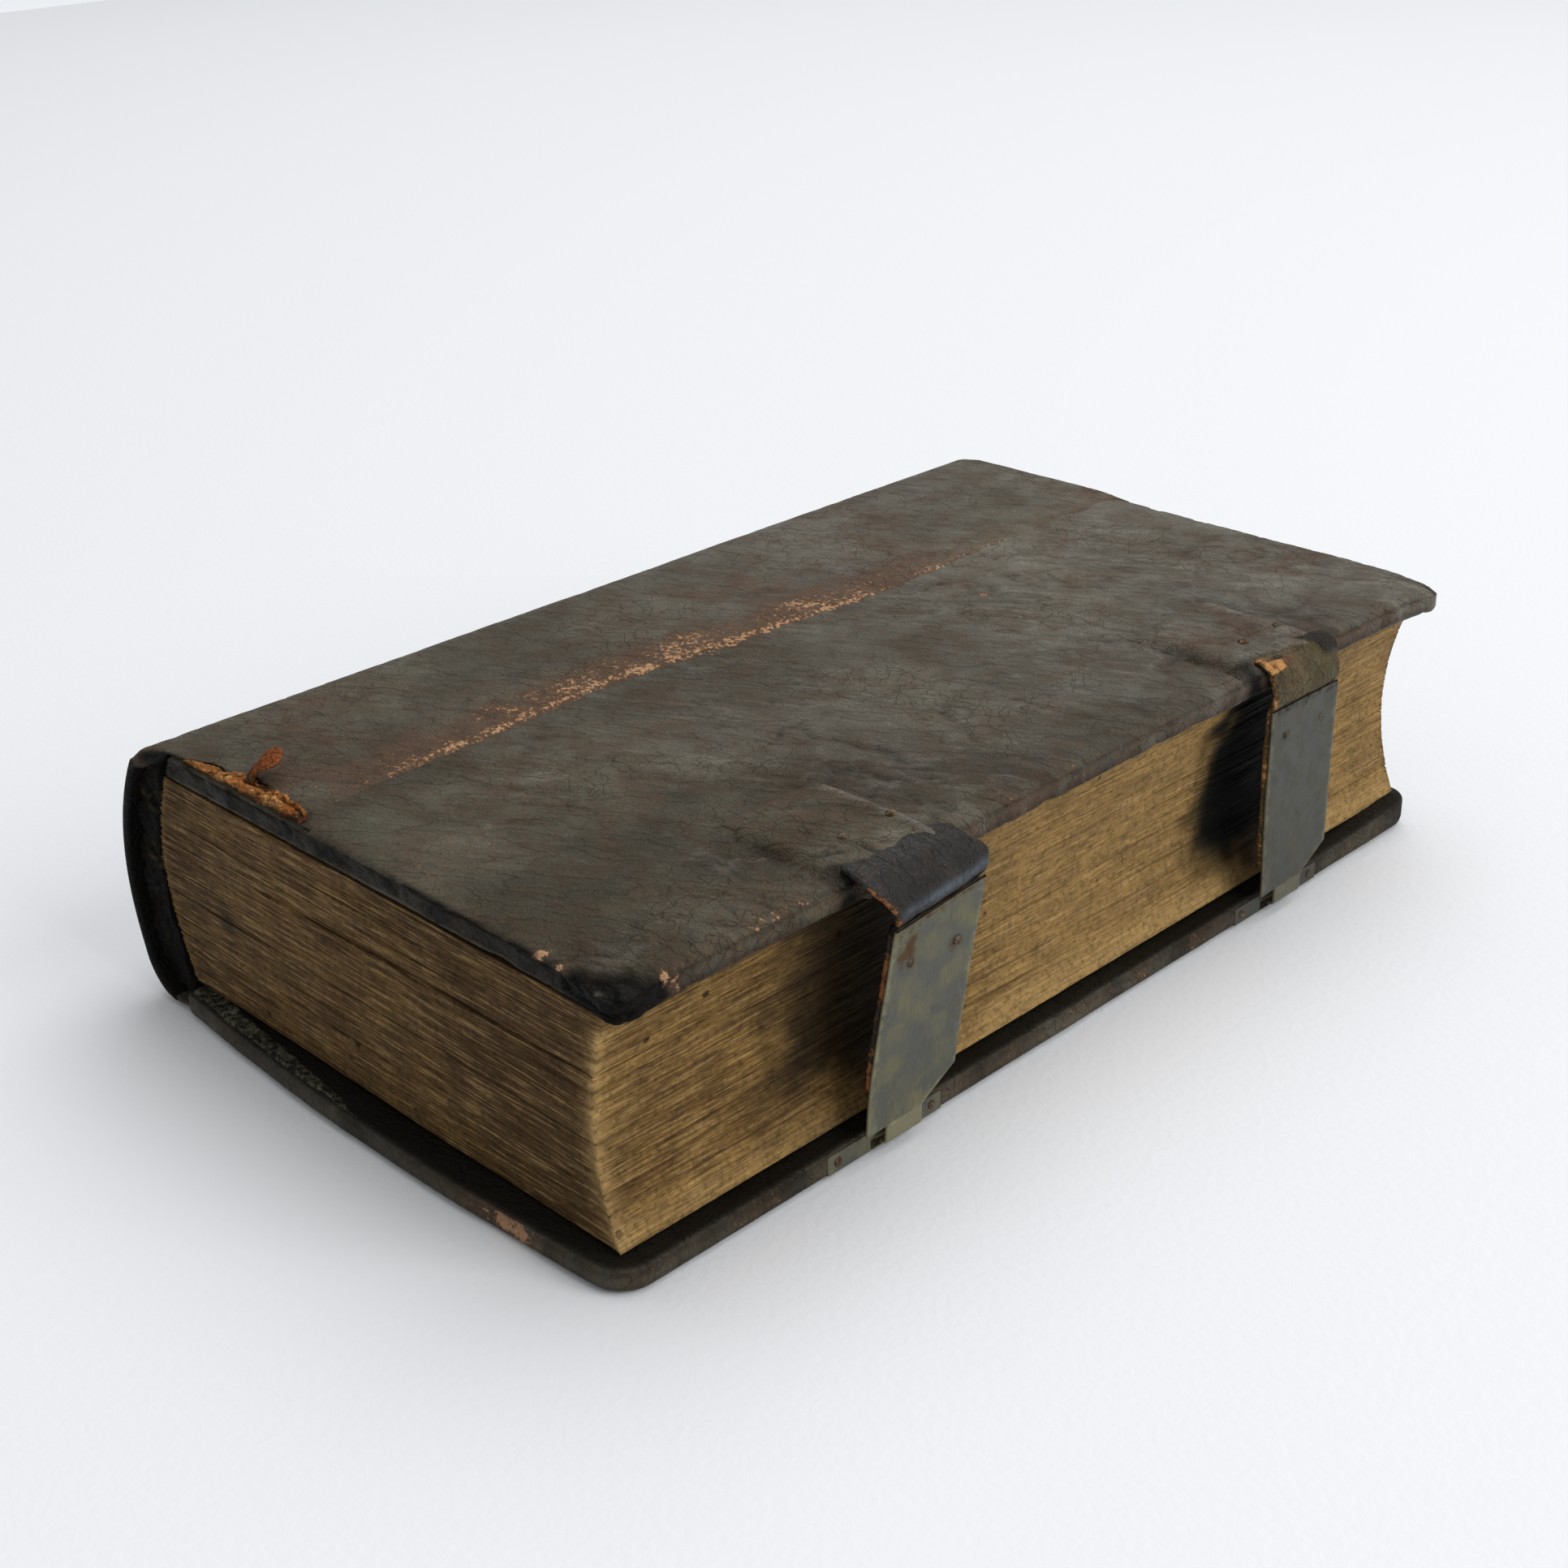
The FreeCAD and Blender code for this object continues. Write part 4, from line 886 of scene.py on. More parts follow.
def spineSheet():
    path = roundedPath(outline, 0.42, 0.75)
    station = pathStations(path)[:, None]
    pathX = path[:, 0][:, None]
    onTop = (path[:, 1] > 34.5)[:, None]
    # thick at the shoulder, pared thin over the cover and at the heel; torn back at the tail
    thick = np.interp(pathX, [-6, -0.8, 0.3, 1.6, 24, 28, 31.5], [1.8, 2.5, 1.8, 0.5, 0.42, 0.3, 0.1])
    thick = np.where(onTop, thick, spine["thick"])
    left = station[-1] - station
    thick = np.where(left < 1.5, 0.3 + 0.73 * left, thick)
    low = np.where(onTop, np.interp(pathX, [-6, -2, 1.0, 4.0], [spine["tail"], 0.9, 1.9, 2.4]), spine["tail"])
    tornAway = smooth(4.5, 9.0, pathX) * (1 - smooth(27.0, 29.5, pathX)) * onTop
    low = low + tornAway * (1.3 + 1.1 * hill(pathX, 18.0, 7.0) + 0.8 * layered(pathX, 0 * pathX, 3.2, 101, 4))
    high = np.where(onTop, np.interp(pathX, [-6, 1.0], [spine["head"], 151.1]), spine["head"])
    faceCount = int((spine["head"] - spine["tail"]) / spine["faceStep"])
    across, depth = rimLoop(low, high, thick, faceCount, 9, 60)
    onFace = (depth < 0.01 + 0.2 * thick).astype(float)
    px, pz = pathX + 0 * across, path[:, 1][:, None] + 0 * across
    # swells and slanting wrinkles, as on the cover
    swell = 0.10 * layered(station, across, 24.0, 203) + 0.035 * layered(station, across, 6.0, 207)
    broad = creases(station * 1.2, across * 0.55, 8.5, 211, 11.0)
    swell = swell - 0.10 * broad * smooth(0.0, 0.6, layered(px, across, 26.0, 214))
    unrolled = spine["start"] - station
    over = across * 0.88 - unrolled * 0.47 + 1.8 * layered(unrolled, across, 18.0, 221, 2)
    along = unrolled * 0.88 + across * 0.47
    there = 0.35 + 0.65 * smooth(-0.3, 0.4, layered(px, across, 18.0, 219))
    wrinkles = creases(along * 0.3, over, 2.3, 217, 7.0) * there
    wrinkles = wrinkles + 0.5 * creases(along * 0.45, over, 1.4, 227, 6.0)
    # the worn line, where the strip ends on the cover, and the rubbed band beside it
    wornLine = np.interp(across, [0, 9, 24, 54, 80, 95, 120, 152],
                         [28.4, 28.0, 27.2, 25.9, 28.2, 29.6, 29.2, 28.8])
    chipped = 0.9 * layered(across, px, 5.0, 223, 4) + 0.35 * layered(across, px, 1.2, 229, 2)
    topFace = smooth(2.0, 4.0, px)
    swell = swell - 0.1 * wrinkles - 0.52 * smooth(-0.5, 1.5, px - wornLine + chipped) * topFace
    fromLine = wornLine - px
    band = (1 - smooth(3.0, 9.5 + 2.0 * layered(across, px, 9.0, 231), fromLine)) * (fromLine > -2.2) * topFace
    strong = (0.25 + 0.75 * smooth(4, 24, across)) * (1 - smooth(88, 135, across) * 0.72)
    blotches = 0.2 * layered(across, px, 8.0, 233, 3) + 0.16 * layered(across, px, 2.2, 237, 2)
    wear = 0.18 + 0.12 * layered(px, across, 12.0, 241) + band * strong * (0.37 + blotches)
    ragged = 0.8 + layered(across, px, 3.0, 243)
    wear = wear + (0.06 + 0.16 * strong) * hill(fromLine, 0.3, 0.7) * topFace * ragged
    ruddy = 0.6 * smooth(-0.1, 0.6, layered(px, across, 17.0, 239)) + 0.85 * band * strong
    ruddy = ruddy + 1.2 * spot(px, across, -4.2, 0, 2.4, 5)
    # painted shade: the rims along the spine are painted near-black, less so just under the outer face as a
    # painted reflection; the face along the tail end and the rims near the tail on the cover are painted
    # darker, one place on the shoulder less dark; the wrinkles are painted dark as shade
    soot = (1 - onFace) * (0.96 - 0.5 * hill(depth / thick, 0.12, 0.16)) * (px < 3.5)
    soot = soot + 0.5 * hill(across, 0.2, 0.8) * (px < 3.0) + 0.5 * (1 - onFace) * (px >= 3.5) * (across < 12)
    soot = soot * (1 - 0.7 * spot(px, pz, -4.2, 35.2, 2.0, 1.6))
    # painted sheen: the top is painted lighter towards the head, with some random pale tone
    bloom = (0.45 * smooth(10, 120, across) + 0.2 * layered(px, across, 15.0, 247, 3)) * onTop
    points = alongPath(path, -pathNormals(path), across, swell * onFace - depth)
    return points, lookValues({"wear": wear, "ruddy": ruddy, "soot": soot, "fold": 0.5 * wrinkles * onFace,
                               "bloom": bloom * onFace})


points, values = spineSheet()
spineWrap = makeMesh("spine_wrap", points, leather, values, flip=True)
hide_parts("spine_leather", "front_overlay")
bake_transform(spineWrap)
print("spine leather", points.shape[:2])

# The heel: the same leather going on under the spine to the back cover, where it ends inside the joint.
heel = roundedPath([[-5.4, 1.0], [-4.2, 0.56], [-2.4, 0.62], [-0.6, 0.85], [0.9, 1.15], [2.2, 1.5]], 0.4, 0.5)
count = len(heel)
across, depth = rimLoop(np.full((count, 1), 0.35), np.full((count, 1), 151.0),
                        np.linspace(0.7, 0.5, count)[:, None], 150, 5, 40)
shift = 0.05 * layered(heel[:, 0][:, None], across, 9.0, 251) - depth
points = alongPath(heel, -pathNormals(heel), across, shift)
zero = np.zeros(points.shape[:2])
# the heel is darkened evenly all over
values = {"wear": zero + 0.2, "ruddy": zero + 0.3, "soot": zero + 0.4}
heelPiece = makeMesh("spine_heel", points, leather, values, flip=True)
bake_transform(heelPiece)


# Lining: the crumbled layers of glue, paper and cloth between the backs of the leaves and the spine leather.
def liningBlock():
    t = np.linspace(0, 1, 96)[:, None]
    z = 2.3 + 31.3 * t + 0.5 * (t > 0.97)
    outside = np.interp(z, [0.8, 2.0, 4.0, 6.5, 12, 20, 28, 33.0, 34.0],
                        [-4.4, -5.6, -7.0, -7.9, -8.9, -9.0, -7.6, -5.0, -3.6])
    leafShare = np.clip((z - book["leafFoot"]) / (book["leafTop"] - book["leafFoot"]), 0, 1)
    inside = leaves["back"] - leaves["round"] * hollowAt(leafShare) + 0.35
    wide = np.linspace(0, 1, 16)[None, :]
    deep = np.linspace(0, 1, 14)[None, 1:-1]
    share = np.concatenate([wide, 0 * deep + 1, wide[:, ::-1], 0 * deep], axis=1)
    along = np.concatenate([0 * wide, deep, 0 * wide + 1, deep[:, ::-1]], axis=1)
    x = outside + (inside - outside) * share
    atEnd = (along < 0.01) | (along > 0.99)
    crumbs = latticeNumber(np.round(x * 1.3), np.round(z * 2.2), 3) - 0.5
    rough = 0.55 * layered(x * 1.6, z * 1.1, 2.2, 263, 5) + 0.35 * crumbs
    y = 1.9 + 147.9 * along + rough * atEnd * np.where(along < 0.5, 1, -1)
    top = 0.7 * layered(x, y, 2.5, 269, 3) * smooth(0.9, 1.0, t)
    return np.stack([x, y, z + top], axis=-1)


points = liningBlock()
liningPiece = makeMesh("spine_layers", points, lining)
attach(liningPiece, "text_block")
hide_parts("spine_lining")
print("lining", points.shape[:2])


def paperSheet(name, box, z, seed, body, node):
    # a pasted sheet: a thin slab whose edge wavers and whose face cockles a little
    x0, x1, y0, y1 = box
    rows, thickness = 60, 0.26
    sheet = (np.full((rows, 1), number) for number in (y0, y1, thickness))
    across, depth = rimLoop(*sheet, 100, 3, 30)
    along = np.linspace(x0, x1, rows)[:, None]
    edge = np.minimum(np.minimum(along - x0, x1 - along), np.minimum(across - y0, y1 - across))
    x = along + 0.25 * layered(across, along, 7.0, seed) * (np.abs(along - (x0 + x1) / 2) > 30)
    face = (depth < thickness / 2) * (0.05 * layered(x, across, 15.0, seed + 3))
    points = np.stack([x, across + 0 * x, z - depth + face], axis=-1)
    piece = makeMesh(name, points, paper, {"wear": 0.7 * np.exp(-edge / 5.0)})
    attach(piece, body)
    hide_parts(node)


paperSheet("back_endpaper", (5.2, 80.4, 4.4, 145.6), 3.86, 301, "back_cover", "back_pastedown")
paperSheet("front_endpaper", (5.2, 80.4, 6.4, 147.6), 32.8, 331, "front_cover", "front_pastedown")
print("endpapers")


# Clasps. The strap is a flat leather band carried along a path out from under the cover leather, over the
# fore-edge and down behind its plate; the plate ends in a narrow hook.
strap = {"width": 14.4, "thick": 0.85, "foot": 8.0}
strapPaths = {
    1: [[71.0, 36.4], [76.0, 36.5], [81.5, 36.75], [84.4, 36.95], [86.4, 36.3], [87.9, 34.7], [88.75, 33.0],
        [88.95, 31.9], [88.6, 31.0], [87.9, 30.3]],
    2: [[71.0, 36.4], [76.0, 36.5], [81.5, 36.7], [84.3, 36.9], [85.8, 35.9], [86.3, 34.2], [86.75, 32.7],
        [86.75, 31.3]],
}
plate = {"width": 14.6, "thick": 0.45, "face": 86.38, "foot": 4.175, "hookWidth": 6.0, "hookShift": 0.9,
         "cut": 3.0, "neck": 2.0, "bend": 0.8, "tip": 85.35}


def plateFace(clasp, z):
    # where the outer face of a plate stands: upright, or leaning out towards its top
    return plate["face"] + clasp["out"] * np.clip((z - 7.0) / (clasp["plateTop"] - 7.7), 0, 1.1) ** 1.2


def swayAt(clasp, z):
    # how far a clasp is pulled towards the head, from none at its foot to most at the plate's top
    return clasp["sway"] * np.clip((z - 4.2) / 26.0, 0, 1.05)


def claspMiddle(clasp, z):
    # the middle line of a clasp that hangs slanting from its fold
    return clasp["y"] - math.tan(math.radians(clasp["lean"])) * np.maximum(book["fold"] - z, 0)


def strapPiece(clasp):
    number, top, seed = clasp["number"], clasp["plateTop"], clasp["seed"]
    pulled = 1.0 if clasp["sway"] > 0 else 0.0
    behind = np.array([top - 0.3, top - 1.5, 22.0, 14.0, strap["foot"]])
    hung = np.stack([plateFace(clasp, behind) - 0.52, behind], axis=-1)
    line = roundedPath(np.concatenate([strapPaths[number], hung]), 0.3, 0.45)
    station = pathStations(line)[:, None]
    px, pz = line[:, 0][:, None], line[:, 1][:, None]
    hanging = smooth(36.9, 33.0, pz)
    middle = claspMiddle(clasp, pz) + (swayAt(clasp, pz) + 0.8 * pulled) * hanging - 0.8 * pulled
    half = strap["width"] / 2 + 0.9 * pulled * smooth(31.5, 35.0, pz) - 0.5 * smooth(12, 8, pz)
    # under the cover leather the strap lies within the mound
    hidden = 1 - smooth(81.0, 85.0, px)
    middle, half = middle - 2.0 * hidden, half - 2.4 * hidden
    rag = 0.28 * layered(station, 0 * station + number, 2.2, 401 + seed, 4)
    across, depth = rimLoop(middle - half + rag, middle + half + rag * 0.7, strap["thick"] + 0 * px, 46, 7, 20)
    offset = across - middle
    face = depth < 0.3
    swell = 0.12 * layered(station, across, 5.0, 411 + seed, 3)
    swell = swell - 0.12 * creases(station, across * 0.5, 2.4, 417, 7.0)
    zero = 0 * (px + across)
    rimWear = smooth(half - 0.6, half - 0.1, np.abs(offset))
    wear = (0.62 + 0.35 * layered(station, offset, 2.5, 443, 3)) * rimWear
    wear = wear + 0.3 * smooth(0, 0.6, layered(station, across, 3.0, 441))
    wear = wear * (0.25 + 0.75 * smooth(36.4, 35.2, pz))
    soot, ruddy, bloom = zero, zero + 0.15, zero
    if number == 1:
        # a painted highlight on the bulge over the plate, and painted near-black shade where the strap goes in
        # behind it
        bloom = bloom + 0.75 * hill(pz, 32.3, 0.55) * (px > 88) * face * smooth(-7.5, -5.5, offset)
        soot = soot + 0.95 * smooth(31.4, 31.0, pz) * (pz > top - 0.6)
    else:
        # what is left of the dark upper layer, a bare tan patch with a hole, a curled brown flap and a slit;
        # the hole and the slit are painted near-black as shade
        bend = (px > 82) * (pz > top - 0.5) * face
        remnant = layered(station, across, 3.2, 433, 4) + 0.7 * smooth(1, 6, offset) - 0.1
        remnant = smooth(0.0, 0.25, remnant) * smooth(34.0, 35.6, pz)
        tan = np.hypot((offset + 6.2) / 2.6, (pz - 36.2) / 0.9) + 0.2 * layered(station, across, 1.5, 437, 3)
        tan = smooth(1.0, 0.6, tan) * bend
        hole = spot(offset, pz, -6.0, 36.3, 0.4, 0.25)
        slit = hill(offset, -4.6, 1.9) * hill(px, 84.3 + 0.15 * (offset + 5), 0.25)
        flap = spot(offset, px, -3.4, 85.0, 1.4, 0.4)
        swell = swell + (0.3 * remnant + 0.25 * flap - 0.4 * slit) * bend
        soot = np.clip(0.85 * remnant + hole + slit, 0, 0.95) * bend * (1 - 0.9 * tan * (1 - hole))
        wear = wear + 1.1 * tan
        ruddy = ruddy + 1.2 * flap * bend
    rise = clasp["slant"] * offset * smooth(14, 28, pz) * (1 - smooth(33, 36.4, pz))
    points = alongPath(line, pathNormals(line), across, np.where(face, swell, 0.0) - depth, rise)
    values = {"wear": np.clip(wear + zero, 0, 1.4), "ruddy": ruddy, "soot": soot, "bloom": bloom}
    look = strapLeather if number == 1 else rawLeather
    piece = makeMesh("strap_%d_leather" % number, points, look, values)
    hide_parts("strap_%d" % number, "strap_%d_anchor" % number)
    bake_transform(piece)


def platePiece(clasp):
    # sheet metal, full width down to the shoulder, then a narrow tongue bent in as the hook
    number, top, foot = clasp["number"], clasp["plateTop"], plate["foot"]
    half, shoulder, seed = plate["width"] / 2, foot + plate["cut"], 500 + clasp["seed"]
    hookLow = -plate["hookWidth"] / 2 - plate["hookShift"]
    hookHigh = plate["hookWidth"] / 2 - plate["hookShift"]
    slope = np.linspace(shoulder, foot, 8)[1:]
    neck = np.array([foot - 0.02, foot - 0.6, foot - 1.3, foot - plate["neck"]])
    z = np.concatenate([np.linspace(top, shoulder, 46), slope, neck])
    left = np.where(z < foot, hookLow, -half)
    cut = (half - plate["hookWidth"] / 2 + plate["hookShift"]) * np.clip((shoulder - z) / plate["cut"], 0, 1)
    right = np.where(z < foot, hookHigh, np.where(z > shoulder, half, half - cut))
    turn = np.linspace(0, math.pi / 2, 9)[1:]
    hookZ = foot - plate["neck"] - plate["bend"] * np.sin(turn)
    hookX = plate["face"] - plate["bend"] * (1 - np.cos(turn))
    x = np.concatenate([plateFace(clasp, z), hookX, [plate["tip"]]])
    z = np.concatenate([z, hookZ, [hookZ[-1]]])
    left = np.concatenate([left, np.full(9, hookLow)])[:, None]
    right = np.concatenate([right, np.full(9, hookHigh)])[:, None]
    line = np.stack([x, z], axis=-1)
    across, depth = rimLoop(left, right, np.full((len(z), 1), plate["thick"]), 34, 4, 34)
    pz = z[:, None]
    dent = 0.10 * layered(across, pz, 9.0, seed, 3) + 0.22 * smooth(4.5, 7.3, -across) * smooth(14, 5, pz)
    dent = dent + 0.12 * smooth(4.5, 7.3, across) * smooth(20, 29, pz)
    rise = 0.10 * layered(across, pz, 6.0, seed + 9, 2) + clasp["slant"] * across * smooth(14, 28, pz)
    points = alongPath(line, pathNormals(line), across, dent * (pz > foot - 1.5) - depth, rise)
    points[..., 1] += claspMiddle(clasp, pz) + swayAt(clasp, pz)
    fromEdge = np.abs(np.minimum(across - left, right - across))
    wear = 0.85 * np.exp(-fromEdge / 0.7) + 0.7 * (pz < foot) + 0.25 * smooth(10, 4, pz)
    if number == 1:
        spots = 1.2 * spot(pz, across, top - 3.6, -4.6, 2.2, 1.8)
        spots = spots + 0.7 * spot(pz, across, top - 6.5, 3.4, 1.2, 1.8)
    else:
        spots = 1.3 * hill(pz, top - 4.0, 0.7) * (hill(across, -4.2, 0.9) + 0.8 * hill(across, 3.6, 0.8))
    rust = 0.75 * spots + 0.5 * hill(pz, top - 0.3, 0.8)
    rust = rust + 0.25 * smooth(0.2, 0.7, layered(across, pz, 4.0, seed + 5))
    values = {"wear": np.clip(wear, 0, 1.3), "rust": np.clip(rust, 0, 1.2)}
    piece = makeMesh("clasp_%d_plate" % number, points, claspMetal[number], values)
    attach(piece, "clasp_%d" % number)
    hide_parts("clasp_plate_%d" % number)


for clasp in clasps:
    strapPiece(clasp)
for clasp in clasps:
    platePiece(clasp)
print("straps and plates")


# The torn place at the tail of the spine leather: a fibrous rag of bare suede and a curled tongue.
def tornRag():
    # lumps along the tail edge, broad and high towards one end, with a groove between two ribbons; the low
    # places are painted dark as shade, with random dark patches besides
    u = np.linspace(0, 1, 190)[:, None]
    v = np.linspace(0, 1, 34)[None, :]
    x = 4.6 + 25.2 * u
    low = 2.25 + 0.25 * layered(x, 0 * x, 2.4, 603, 3)
    high = np.interp(x, [4.6, 7, 12, 17, 22, 27, 29.8], [2.6, 3.5, 4.4, 5.6, 5.3, 4.9, 3.4])
    high = high + 0.5 * layered(x, 0 * x, 2.6, 601, 4)
    y = low + (high - low) * v + 0.2 * layered(x, v * 3, 1.6, 607, 3)
    x = x + 0.35 * layered(y, x, 1.8, 609, 3)
    groove = hill(v, 0.62 + 0.1 * layered(x, 0 * x, 3.0, 619, 2), 0.07) * smooth(0.4, 0.55, u)
    body = smooth(0, 0.14, v) * (1 - smooth(0.86, 1.0, v)) * smooth(0, 0.05, u) * (1 - smooth(0.95, 1.0, u))
    clump = 0.55 + 0.85 * layered(x, y, 2.3, 613, 4) + 0.45 * layered(x, y, 0.8, 617, 2)
    clump = np.clip(clump - 0.9 * groove, 0.05, 2)
    z = book["top"] - 0.06 + body * clump * (0.5 + 0.85 * smooth(0.3, 0.85, u) * (1 - 0.4 * v))
    hollow = smooth(0.42, 0.16, clump * body)
    wear = 0.45 + 0.6 * layered(x, y, 1.5, 623, 3)
    ruddy = np.clip(0.8 * layered(x, y, 1.8, 621, 3) + 0.5 * hollow + 0.1, 0, 1.1)
    soot = 0.8 * hollow + 0.4 * layered(x, y, 1.2, 629, 3) - 0.1
    values = {"wear": np.clip(wear, 0, 1.2), "ruddy": ruddy, "soot": np.clip(soot, 0, 0.9)}
    return np.stack([x, y, z], axis=-1), values


points, values = tornRag()
rag = makeMesh("torn_rag", points, suede, values, closed=False)
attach(rag, "front_cover")

# The tongue: a thin strip that rises from its foot and curls over, thick at the root and ragged at the tip.
tongue = {"foot": (16.0, 4.5, 36.4), "length": 6.4, "width": 5.4, "headway": math.radians(38.0), "squash": 0.72,
          "start": 68, "lean": 12, "curl": 62, "rows": 34}
u = np.linspace(0, 1, tongue["rows"])
angle = tongue["start"] - tongue["lean"] * smooth(0.0, 0.5, u) - tongue["curl"] * smooth(0.5, 1.0, u)
angle = np.radians(angle)
stepLength = tongue["length"] / (tongue["rows"] - 1)
line = np.stack([np.cumsum(np.cos(angle)), np.cumsum(np.sin(angle))], axis=-1) * stepLength
shape = np.interp(u, [0, 0.2, 0.42, 0.62, 0.85, 0.95, 1.0], [0.7, 0.5, 0.62, 0.95, 0.98, 0.75, 0.3])
half = tongue["width"] / 2 * shape[:, None]
thick = np.interp(u, [0, 0.5, 1.0], [0.8, 0.6, 0.45])[:, None]
across, depth = rimLoop(-half, half, thick, 18, 5, 18)
lift = 0.16 * layered(u[:, None] * 5, across, 1.2, 641, 3) - depth + thick / 2 - 0.05 * across ** 2
curled = alongPath(line, pathNormals(line), across, lift)
out, up = curled[..., 0], curled[..., 2]
ahead, aside = math.sin(tongue["headway"]), math.cos(tongue["headway"])
points = np.stack([out * ahead + across * aside, out * aside - across * ahead, up * tongue["squash"]], axis=-1)
points = points + tongue["foot"]
zero = np.zeros(points.shape[:2])
# the tongue is darker towards its root
values = {"wear": zero + 0.5 * hill(np.abs(across), half, 0.35), "ruddy": zero + 1.15,
          "soot": zero + 0.8 * smooth(0.42, 0.0, u)[:, None]}
tonguePiece = makeMesh("leather_tongue", points, suede, values)
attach(tonguePiece, "front_cover")
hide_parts("torn_tongue")
print("torn place")


# The scuffed strip along the inner tail edge of the back cover, where the turned-in leather has crumbled.
u = np.linspace(0, 1, 150)[:, None]
v = np.linspace(0, 1, 18)[None, :]
x = 0.8 + 40.0 * u
width = 2.8 * (1 - u) ** 0.6 + 0.3
y = 0.55 - bowAt(x) + width * v + 0.25 * layered(x, v * 2, 3.0, 701, 3)
rise = smooth(0, 0.2, v) * (1 - smooth(0.8, 1.0, v)) * smooth(0, 0.03, u) * (1 - smooth(0.7, 1.0, u))
z = cover["thickness"] - 0.12 + rise * (0.32 + 0.3 * layered(x, y, 2.0, 709, 4))
scuffPiece = makeMesh("scuffed_turn_in", np.stack([x + 0 * v, y, z], axis=-1), scuffed, closed=False)
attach(scuffPiece, "back_cover")


# Nails and rivets: a low dome with a sloping, nibbled rim and a short shank, turned about its own axis.
studReach = np.array([0.02, 0.25, 0.5, 0.72, 0.88, 0.97, 1.0, 0.98, 0.6, 0.5, 0.5, 0.02])[:, None]
studRise = np.array([1.0, 0.97, 0.86, 0.66, 0.42, 0.2, 0.05, -0.1, -0.16, -0.5, -1.0, -1.0])[:, None]


def studPiece(node, middle, outward, radius, height, depth, seed, body):
    outward = np.asarray(outward, float)
    side = np.cross(outward, [0.0, 0.3, 1.0])
    side = side / np.linalg.norm(side)
    other = np.cross(outward, side)
    ring = np.linspace(0, 2 * math.pi, 28, endpoint=False)[None, :]
    turnX, turnY = np.cos(ring), np.sin(ring)
    lift = np.where(studRise > -0.2, studRise * height, studRise * depth)
    nibble = 1 + 0.22 * layered(turnX * 2 + 9, turnY * 2 + studReach, 1.3, seed, 3)
    pitted = layered(studReach * turnX * 3, studReach * turnY * 3, 1.1, seed + 7, 3) * (studRise > 0)
    spread = radius * studReach * nibble
    points = (spread * turnX)[..., None] * side + (spread * turnY)[..., None] * other
    points = np.asarray(middle, float) + points + (lift + 0.25 * height * pitted)[..., None] * outward
    rust = np.clip(0.55 + 0.6 * layered(studReach * turnX * 2, studReach * turnY * 2, 0.9, seed, 3), 0, 1)
    values = {"wear": 0.5 * (studRise > 0.5) + 0 * rust, "rust": rust}
    piece = makeMesh(node + "_head", points, iron, values)
    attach(piece, body)
    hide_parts(node)


for clasp in clasps:
    n = clasp["number"]
    rivet = {1: (0.7, 0.3, 0.5), 2: (0.5, 0.12, 0.5)}[n]
    for letter, side in (("a", -3.8), ("b", 3.8)):
        for kind, seed in (("strap_%d_nail_", 800), ("clasp_%d_rivet_", 830), ("catch_%d_nail_", 860)):
            node = kind % n + letter
            x, y, z = sum(nodeBox(node)) / 2
            seed = int(seed + n * 9 + side)
            if kind == "strap_%d_nail_":
                studPiece(node, (x, y, 37.2), (0, 0, 1), 0.75, 0.3, 1.2, seed, "front_cover")
            elif kind == "clasp_%d_rivet_":
                onPlate = (plateFace(clasp, z), y + swayAt(clasp, z), z)
                studPiece(node, onPlate, (1, 0, 0), *rivet, seed, "clasp_%d" % n)
            else:
                studPiece(node, (84.86, y, z), (1, 0, 0), 0.6, 0.2, 0.5, seed, "back_cover")
print("nails and rivets")


# Nodes of the frame that stay as they are get their finish here.
nodeLooks = {"back_board": bareBoard, "catch_plate_1": claspMetal[1], "catch_plate_2": claspMetal[2]}
for name, look in nodeLooks.items():
    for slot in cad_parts[name].material_slots:
        slot.material = look
print("frame nodes finished")


def setPlace(piece, sideways, upward, backward, place):
    # links a camera or a lamp to the scene; it looks away from its backward direction
    bpy.context.collection.objects.link(piece)
    turn = np.eye(4)
    turn[:3] = np.stack([sideways, upward, backward, place], axis=-1)
    piece.matrix_world = Matrix(turn.tolist())


# Camera at the photograph's place: azimuth round the book, elevation, and a small roll.
eye = {"place": (0.1941960, -0.1902822, 0.1482928), "azimuth": 46.3496, "elevation": 25.6331, "roll": -2.0439,
       "lens": 51.8547}
azimuth, elevation, roll = (math.radians(eye[key]) for key in ("azimuth", "elevation", "roll"))
backward = np.array([math.sin(azimuth) * math.cos(elevation), -math.cos(azimuth) * math.cos(elevation),
                     math.sin(elevation)])
right = np.cross(-backward, [0, 0, 1])
right = right / np.linalg.norm(right)
upward = np.cross(right, -backward)
cameraData = bpy.data.cameras.new("camera")
cameraData.lens = eye["lens"]
cameraData.sensor_width = 36.0
cameraData.clip_start = 0.01
camera = bpy.data.objects.new("camera", cameraData)
rolledRight = math.cos(roll) * right + math.sin(roll) * upward
rolledUp = math.cos(roll) * upward - math.sin(roll) * right
setPlace(camera, rolledRight, rolledUp, backward, eye["place"])
bpy.context.scene.camera = camera

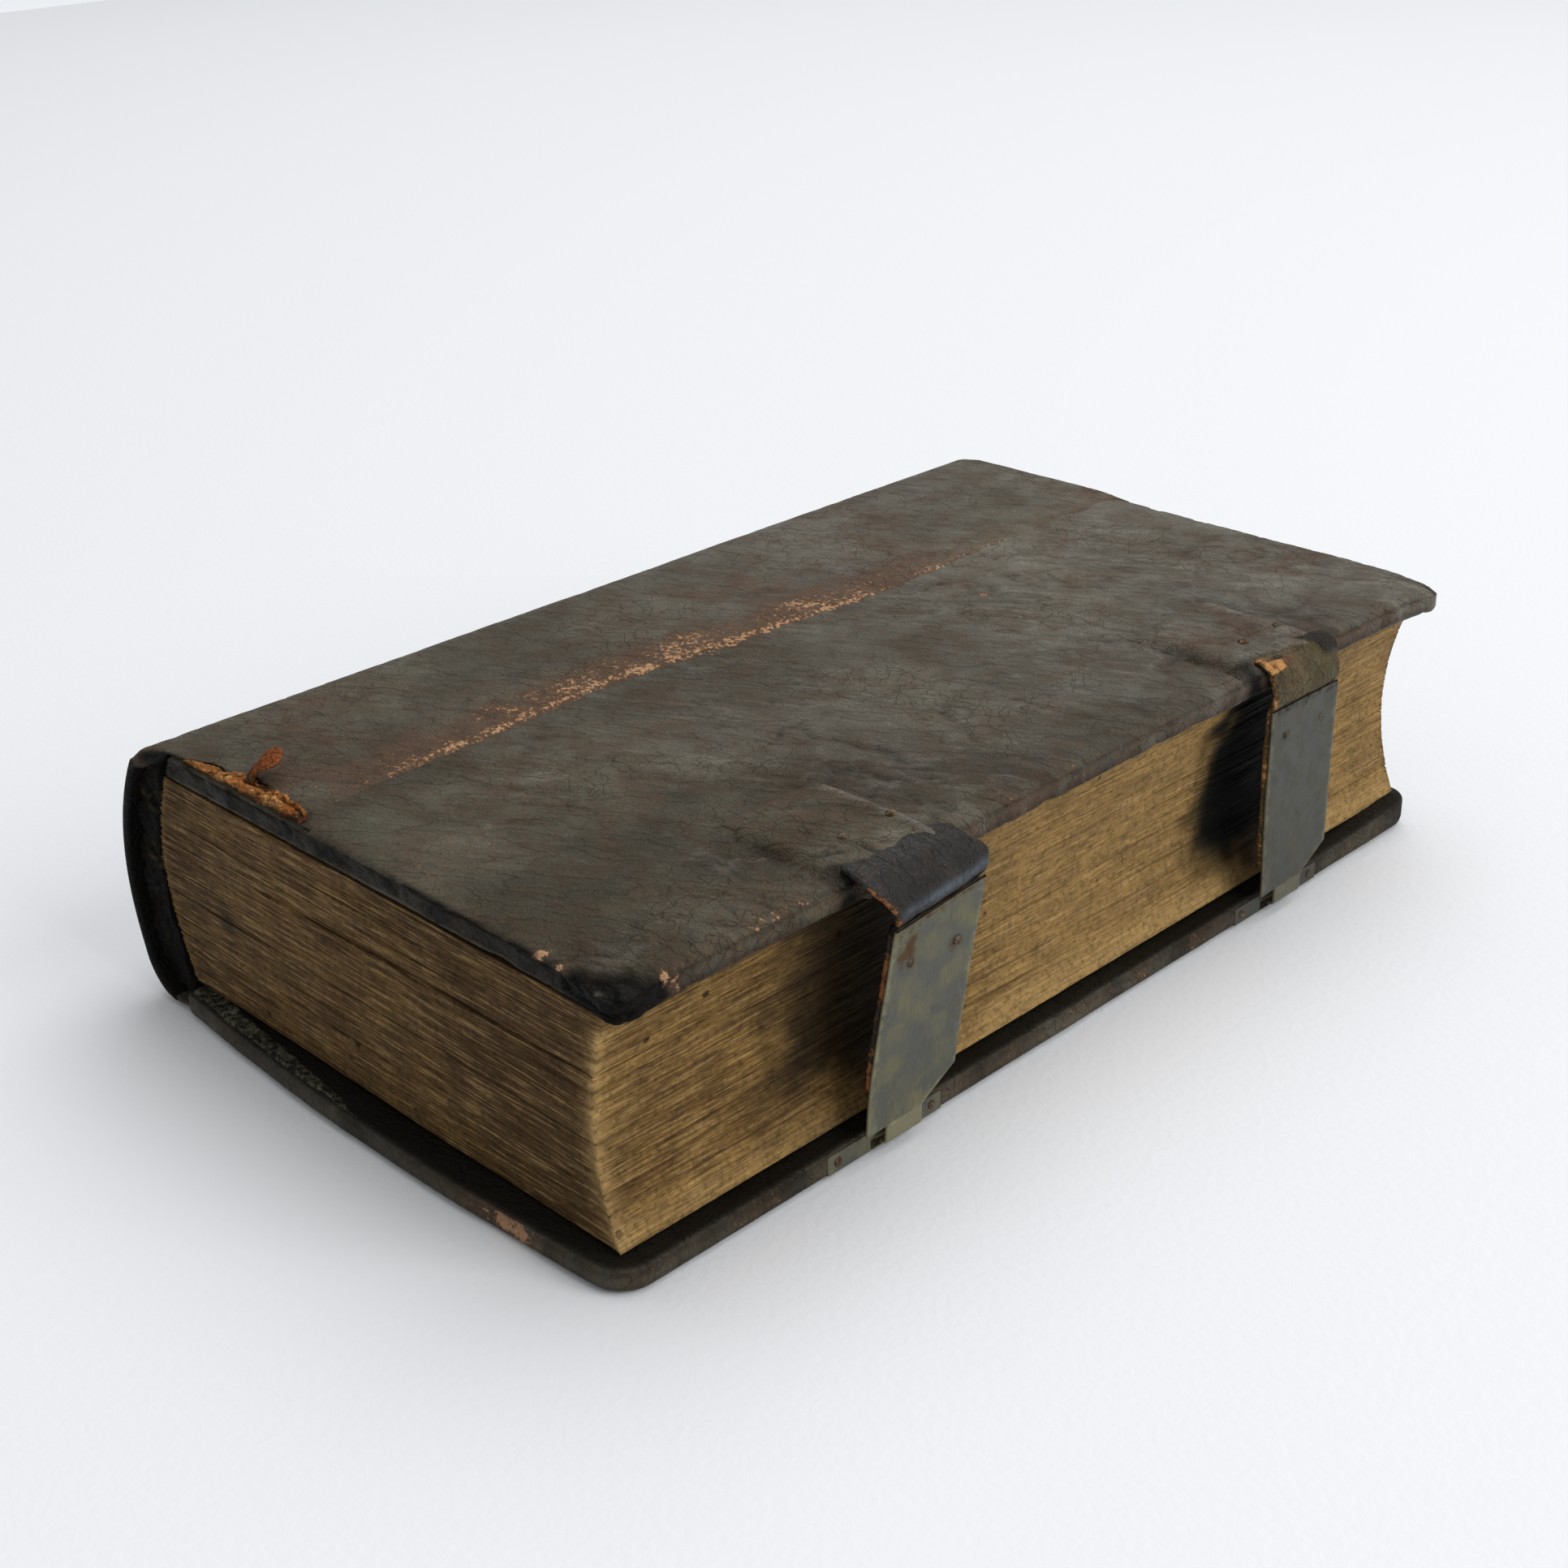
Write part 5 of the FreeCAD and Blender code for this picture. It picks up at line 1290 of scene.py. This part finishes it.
# Paper floor, soft daylight from the right and above, and a pale sky all round.
floorSize = 1.1
floorMesh = bpy.data.meshes.new("paper_floor")
floorMesh.from_pydata([(-floorSize, -floorSize, 0), (floorSize, -floorSize, 0), (floorSize, floorSize, 0),
                       (-floorSize, floorSize, 0)], [], [(0, 1, 2, 3)])
floorPiece = bpy.data.objects.new("paper_floor", floorMesh)
bpy.context.collection.objects.link(floorPiece)
floorLook, tree, shader, place = newMaterial("white paper", specular=0.2, matt=0.8)
shader.inputs["Base Color"].default_value = colour(235, 239, 246)
paperGrain = noiseNode(tree, place, 900.0, 4.0).outputs["Fac"]
paperBump = addNode(tree, "ShaderNodeBump", {"Strength": 0.25, "Distance": 0.0003, "Height": paperGrain})
tree.links.new(paperBump.outputs[0], shader.inputs["Normal"])
floorMesh.materials.append(floorLook)

light = {
    "side": {"place": (1.1, 0.3, 0.8), "aim": (0.0, 0.0, 0.02), "size": 0.9, "power": 9.6,
             "tint": (1.0, 0.98, 0.94)},
    "above": {"place": (-0.35, 0.7, 1.6), "aim": (0.0, 0.0, 0.0), "size": 1.8, "power": 18.0,
              "tint": (1.0, 0.985, 0.96)},
}
for name, lamp in light.items():
    data = bpy.data.lights.new(name, "AREA")
    data.size, data.energy, data.color = lamp["size"], lamp["power"], lamp["tint"]
    away = np.array(lamp["place"]) - np.array(lamp["aim"])
    away = away / np.linalg.norm(away)
    sideways = np.cross([0, 0, 1], away)
    sideways = sideways / np.linalg.norm(sideways)
    setPlace(bpy.data.objects.new(name, data), sideways, np.cross(away, sideways), away, lamp["place"])

world = bpy.data.worlds.new("room")
bpy.context.scene.world = world
world.use_nodes = True
tree = world.node_tree
tree.nodes.clear()
seen = addNode(tree, "ShaderNodeBackground", {"Color": colour(236, 239, 243), "Strength": 1.0})
lit = addNode(tree, "ShaderNodeBackground", {"Color": (1.0, 0.985, 0.96, 1.0), "Strength": 0.44})
ray = tree.nodes.new("ShaderNodeLightPath")
which = worked(tree, "MAXIMUM", ray.outputs["Is Camera Ray"], ray.outputs["Is Transmission Ray"])
both = addNode(tree, "ShaderNodeMixShader", {0: which, 1: lit.outputs[0], 2: seen.outputs[0]})
ending = tree.nodes.new("ShaderNodeOutputWorld")
tree.links.new(both.outputs[0], ending.inputs["Surface"])
bpy.context.scene.view_settings.view_transform = "Standard"

print("camera, light and sizes done")
